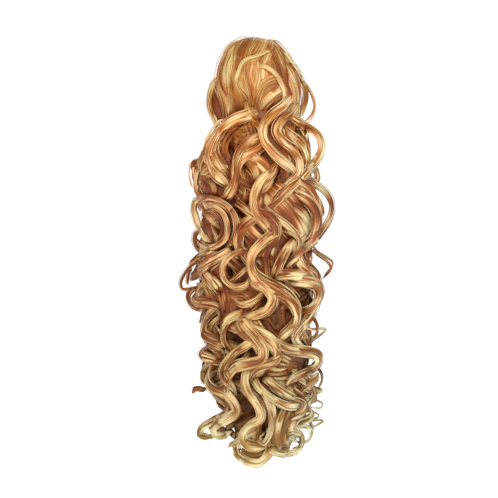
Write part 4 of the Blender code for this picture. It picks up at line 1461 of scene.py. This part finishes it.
# Crown hair. Long fibres sewn to the cup's top and combed down over its front and sides. A closed cover
# lies on the cup and is shaped into soft bands, each as wide as a tress and with its own shade; the cream
# bands are partly painted highlight and the hollow's dark shade is painted shade. Single locks and strands
# lie over it. COVER_REACH_MM is the cover's reach at each angle from straight up, right of it above zero.
# CROWN_BANDS is read as the bands of the layer under the curls are.
COVER_COLUMNS = ("angle", "reach")
COVER_REACH_MM = (
    (-180, 57), (-155, 60), (-130, 63), (-108, 58), (-90, 53), (-79, 52), (-58, 55.5), (-37, 60.5),
    (-21, 61), (0, 60), (15, 60), (29, 55.5), (42, 52), (55, 50), (79, 50), (90, 51), (108, 53), (130, 62),
    (155, 60), (180, 57),
)
COVER_DEPTH = 0.053
COVER_GAP = 0.0008
COVER_POLE = 0.02
COVER_RINGS = 96
COVER_SIDES = 220
CROWN_BANDS = (
    ("top_gold_left", 13, 1.4, 0.27,
     ((-11, 59), (-23, 52), (-34, 43), (-40, 30), (-44, 18), (-45, 5))),
    ("rim_tan", 8, 1.2, 0.32,
     ((-24, 55), (-37, 48), (-45, 35), (-50, 22), (-52, 7), (-51, -5))),
    ("copper_left", 10, 1.2, -0.63,
     ((-7, 59), (-15, 50), (-20, 40), (-23, 29), (-28, 20))),
    ("gold_left", 8, 1.2, 0.17,
     ((-16, 55), (-26, 45), (-29, 34), (-30, 22), (-32, 9), (-30, -5), (-28, -17))),
    ("cream_left", 8, 1.6, 0.92,
     ((-29, 44), (-34, 33), (-38, 22), (-38, 11), (-37, -1), (-35, -13), (-35, -27), (-37, -41))),
    ("copper_edge", 6, 1.0, -0.53,
     ((-43, 29), (-46, 16), (-46, 5), (-43, -5), (-38, -13))),
    ("left_inner", 8, 1.8, 0.52,
     ((-51, 10), (-49, -4), (-44, -16), (-41, -28), (-40, -40), (-40, -51))),
    # Painted shade: a dark hollow at the cover's left edge.
    ("left_hollow", 10, -2.5, -1.38,
     ((-56, 2), (-56, -10), (-51, -22), (-48, -34), (-45, -45))),
    ("top_middle", 13, 1.0, -0.08,
     ((-1, 59), (-4, 49), (-9, 38), (-12, 27), (-15, 17))),
    ("top_tan", 8, 1.0, 0.27,
     ((9, 57), (5, 46), (-1, 35), (-9, 28), (-17, 22), (-22, 13))),
    ("top_right", 10, 1.0, 0.07,
     ((16, 55), (15, 43), (10, 32), (5, 22), (4, 11))),
    ("patch_dark", 5, 0.6, -0.68,
     ((-13, 24), (-17, 20), (-20, 13))),
    ("middle_tan", 11, 1.0, 0.12,
     ((-11, 21), (-13, 10), (-11, -1), (-7, -12), (-6, -24))),
    ("gold_streak", 4, 1.0, 0.52,
     ((-2, 23), (-1, 13), (-1, 4), (-4, -6), (-6, -16))),
    ("tan_left", 8, 1.2, 0.22,
     ((-22, 12), (-24, 2), (-21, -7), (-15, -16), (-10, -27))),
    ("light_line", 4, 0.8, 0.57,
     ((-23, 0), (-17, -9), (-11, -17), (-9, -28))),
    ("bow_streaks", 11, 1.2, 0.12,
     ((22, 5), (11, 0), (2, -9), (-2, -20), (-5, -33))),
    ("bow_dark", 5, 0.6, -0.78,
     ((22, 2), (21, -4), (16, -9))),
    ("cream_right", 12, 1.8, 0.77,
     ((28, -7), (20, -13), (11, -21), (4, -30), (0, -41))),
    ("brown_middle", 12, 0.6, -0.78,
     ((13, -27), (6, -34), (1, -43), (1, -54))),
    ("copper_low", 15, 1.0, -0.43,
     ((-34, -5), (-29, -16), (-24, -27), (-17, -35), (-11, -44))),
    ("brown_low", 8, 0.8, -0.63,
     ((-15, -22), (-16, -30), (-13, -39), (-10, -49))),
    ("middle_fall", 9, 1.6, -0.08,
     ((-5, -11), (-7, -23), (-9, -35), (-9, -48), (-5, -61))),
    ("copper_right", 9, 1.2, -0.73,
     ((13, 44), (17, 34), (21, 23), (24, 12), (27, 2))),
    ("copper_line", 5, 1.0, -0.83,
     ((26, 43), (29, 32), (30, 21), (33, 10), (33, -2), (38, -12))),
    ("tan_right", 7, 1.4, 0.32,
     ((21, 46), (26, 35), (32, 24), (39, 15), (44, 2), (48, -10), (49, -24))),
    ("cream_edge", 8, 1.6, 0.67,
     ((27, 26), (33, 16), (39, 6), (43, -5), (45, -17), (43, -29))),
    ("dark_edge", 4, 0.6, -0.73,
     ((37, 24), (41, 15), (46, 4), (50, -7), (51, -20))),
    ("edge_gold", 8, 1.4, 0.22,
     ((15, 55), (24, 49), (33, 39), (41, 28), (49, 17), (54, 6))),
    ("edge_light", 4, 1.0, 0.77,
     ((32, 37), (39, 28), (46, 18), (51, 9))),
    ("right_low", 9, 1.2, 0.27,
     ((51, -10), (50, -21), (48, -32), (41, -41))),
)
COVER_TONE = 0.10


def crown_reach(angle):
    """How far the cover reaches from the origin at an angle in degrees from straight up, in metres."""
    angles, reaches = (column(COVER_REACH_MM, COVER_COLUMNS, name) for name in COVER_COLUMNS)
    return np.interp(angle, angles, reaches) / 1000


def crown_surface():
    """The cover's points, map and tones: its outside from the pole to the rim, then its inside back to the
    pole.

    tilt is the angle from the pole, straight ahead, and around the angle round it. Each surface is an oval:
    its radius is 1 over the root of the squares of the tilt's sine over the reach and of its cosine over
    the depth. The bands raise the outside, less towards the rim, and the inside clears the cup by
    COVER_GAP.
    """
    around = np.linspace(0, 2 * math.pi, COVER_SIDES, endpoint=False)[None, :]
    rim = crown_reach((np.degrees(around) + 180) % 360 - 180)
    tilt = np.linspace(COVER_POLE, math.pi / 2, COVER_RINGS)[:, None]
    outside = 1 / np.sqrt((np.sin(tilt) / rim) ** 2 + (np.cos(tilt) / COVER_DEPTH) ** 2)
    x = outside * np.sin(tilt) * np.sin(around)
    z = outside * np.sin(tilt) * np.cos(around)
    high, tone, laid = band_cover(x, z, CROWN_BANDS, COVER_TONE)
    outside = outside + high * np.cos(tilt) ** 0.5
    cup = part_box("base_cap")
    wide = cup[1].x + COVER_GAP
    deep = -cup[0].y + COVER_GAP
    inside = 1 / np.sqrt((np.sin(tilt) / wide) ** 2 + (np.cos(tilt) / deep) ** 2) + 0 * around
    radius = np.concatenate([outside, inside[::-1]])
    tilt = np.concatenate([tilt, tilt[::-1]])
    x = radius * np.sin(tilt) * np.sin(around)
    z = radius * np.sin(tilt) * np.cos(around)
    points = np.stack([x, -radius * np.cos(tilt), z], axis=-1)
    return points[None], np.concatenate([laid, laid[::-1]])[None], np.concatenate([tone, tone[::-1]])[None]


show("crown_cover", hair_mesh("crown_cover", [crown_surface()]), curled_fibre, "crown_hair")

CROWN_STEP = 0.0030
CROWN_COLUMNS = ("name", "wide", "high", "lift", "tone", "points")
CROWN_LOCKS = (
    ("swirl_light", 3, 2, 3, 0.90,
     ((15, 41), (5, 34), (-5, 30), (-15, 27), (-21, 21), (-24, 12), (-27, 4), (-28, -5))),
    ("bow_light", 5, 2, 4, 0.90,
     ((-2, 18), (6, 17), (13, 13), (20, 7), (24, 0), (28, -9), (29, -18), (27, -28), (20, -37))),
    ("outer_left", 8, 4, 1, 0.40,
     ((-51, 12), (-56, 2), (-60, -10), (-61, -21), (-59, -32), (-54, -41), (-49, -52), (-46, -65))),
    ("outer_left_shade", 5, 3, 0, -0.60,
     ((-51, 11), (-55, 0), (-57, -12), (-56, -24), (-52, -37), (-48, -49))),
    ("outer_right", 7, 4, 2, -0.10,
     ((35, 29), (44, 18), (51, 6), (56, -6), (56, -18), (52, -30), (50, -43))),
    ("outer_right_light", 3, 2, 4, 0.60,
     ((28, 39), (35, 29), (43, 18), (49, 7), (55, -5))),
)
CROWN_TUCK = 0.006
CROWN_TUCK_RATES = (7, 6)
CROWN_FORWARD = 1.2
CROWN_MIDDLE = np.array([0, 0, -0.015])
CROWN_FRAY = 0.05
CROWN_SEED = 2100
STRAND_SEED = 2300
STRAND_SINK = 0.2
COMBED_COUNT = 5
COMBED_REACH = 0.9
COMBED_JITTER = 0.2
COMBED_LAYERS = (-0.3, 0.3)
COMBED_WIDTHS = (0.0007, 0.0014)
COMBED_HIGH = 0.001
COMBED_MAKE = {"mixed": 0.3, "sides": 4, "flat": 0.6, "fray": 0.2}


def dome_of(x, z):
    """The depth y of the crown's cover at x and z, without its bands."""
    far = np.hypot(x, z)
    angle = np.degrees(np.arctan2(x, z))
    rim = crown_reach(angle)
    return -COVER_DEPTH * np.sqrt(np.maximum(0, 1 - (far / rim) ** 2))


def combed_path(points_mm, lift, step):
    """A lock on the crown: its line, its broad side's direction and the distance along it.

    It runs on a smooth curve through the points, right of and above the origin, and lift off the cover.
    Both ends go in by CROWN_TUCK.
    """
    line, at = smooth_line(points_mm, PATH_STEPS)
    x, z = line.T
    share = at / at[-1]
    centre = np.stack([x, dome_of(x, z), z], axis=-1)
    out = unit(centre - CROWN_MIDDLE)
    tuck = CROWN_TUCK * sum(end_tucks(share, *CROWN_TUCK_RATES))
    face = out + CROWN_FORWARD * np.array([0, -1, 0])
    return even_steps(centre + (lift - tuck)[:, None] * out, face, step)


tubes = []
for number, row in enumerate(CROWN_LOCKS):
    lock = dict(zip(CROWN_COLUMNS, row))
    rng = np.random.default_rng(CROWN_SEED + number)
    path = combed_path(lock["points"], lock["lift"] / 1000, CROWN_STEP)
    strands = 2 + round(lock["wide"] / STRAND_MM)
    tubes += lock_of(path, lock["wide"] / 1000, lock["high"] / 1000, lock["tone"], rng, strands, CROWN_FRAY)
for number, row in enumerate(CROWN_BANDS):
    band = dict(zip(BAND_COLUMNS, row))
    rng = np.random.default_rng(STRAND_SEED + number)
    path = combed_path(band["points"], (max(band["high"], 0) - STRAND_SINK) / 1000, CROWN_STEP)
    spread = rng.uniform(-COMBED_JITTER, COMBED_JITTER, COMBED_COUNT)
    place = np.linspace(-COMBED_REACH, COMBED_REACH, COMBED_COUNT) + spread
    own = rng.uniform(*COMBED_WIDTHS, COMBED_COUNT)
    layer = rng.uniform(*COMBED_LAYERS, COMBED_COUNT)
    wide = band["wide"] / 1000
    tubes.append(tubes_on(path, wide, COMBED_HIGH, band["tone"], place, layer, own, rng, **COMBED_MAKE))
show("crown_strands", hair_mesh("crown_strands", tubes), curled_fibre, "crown_hair")
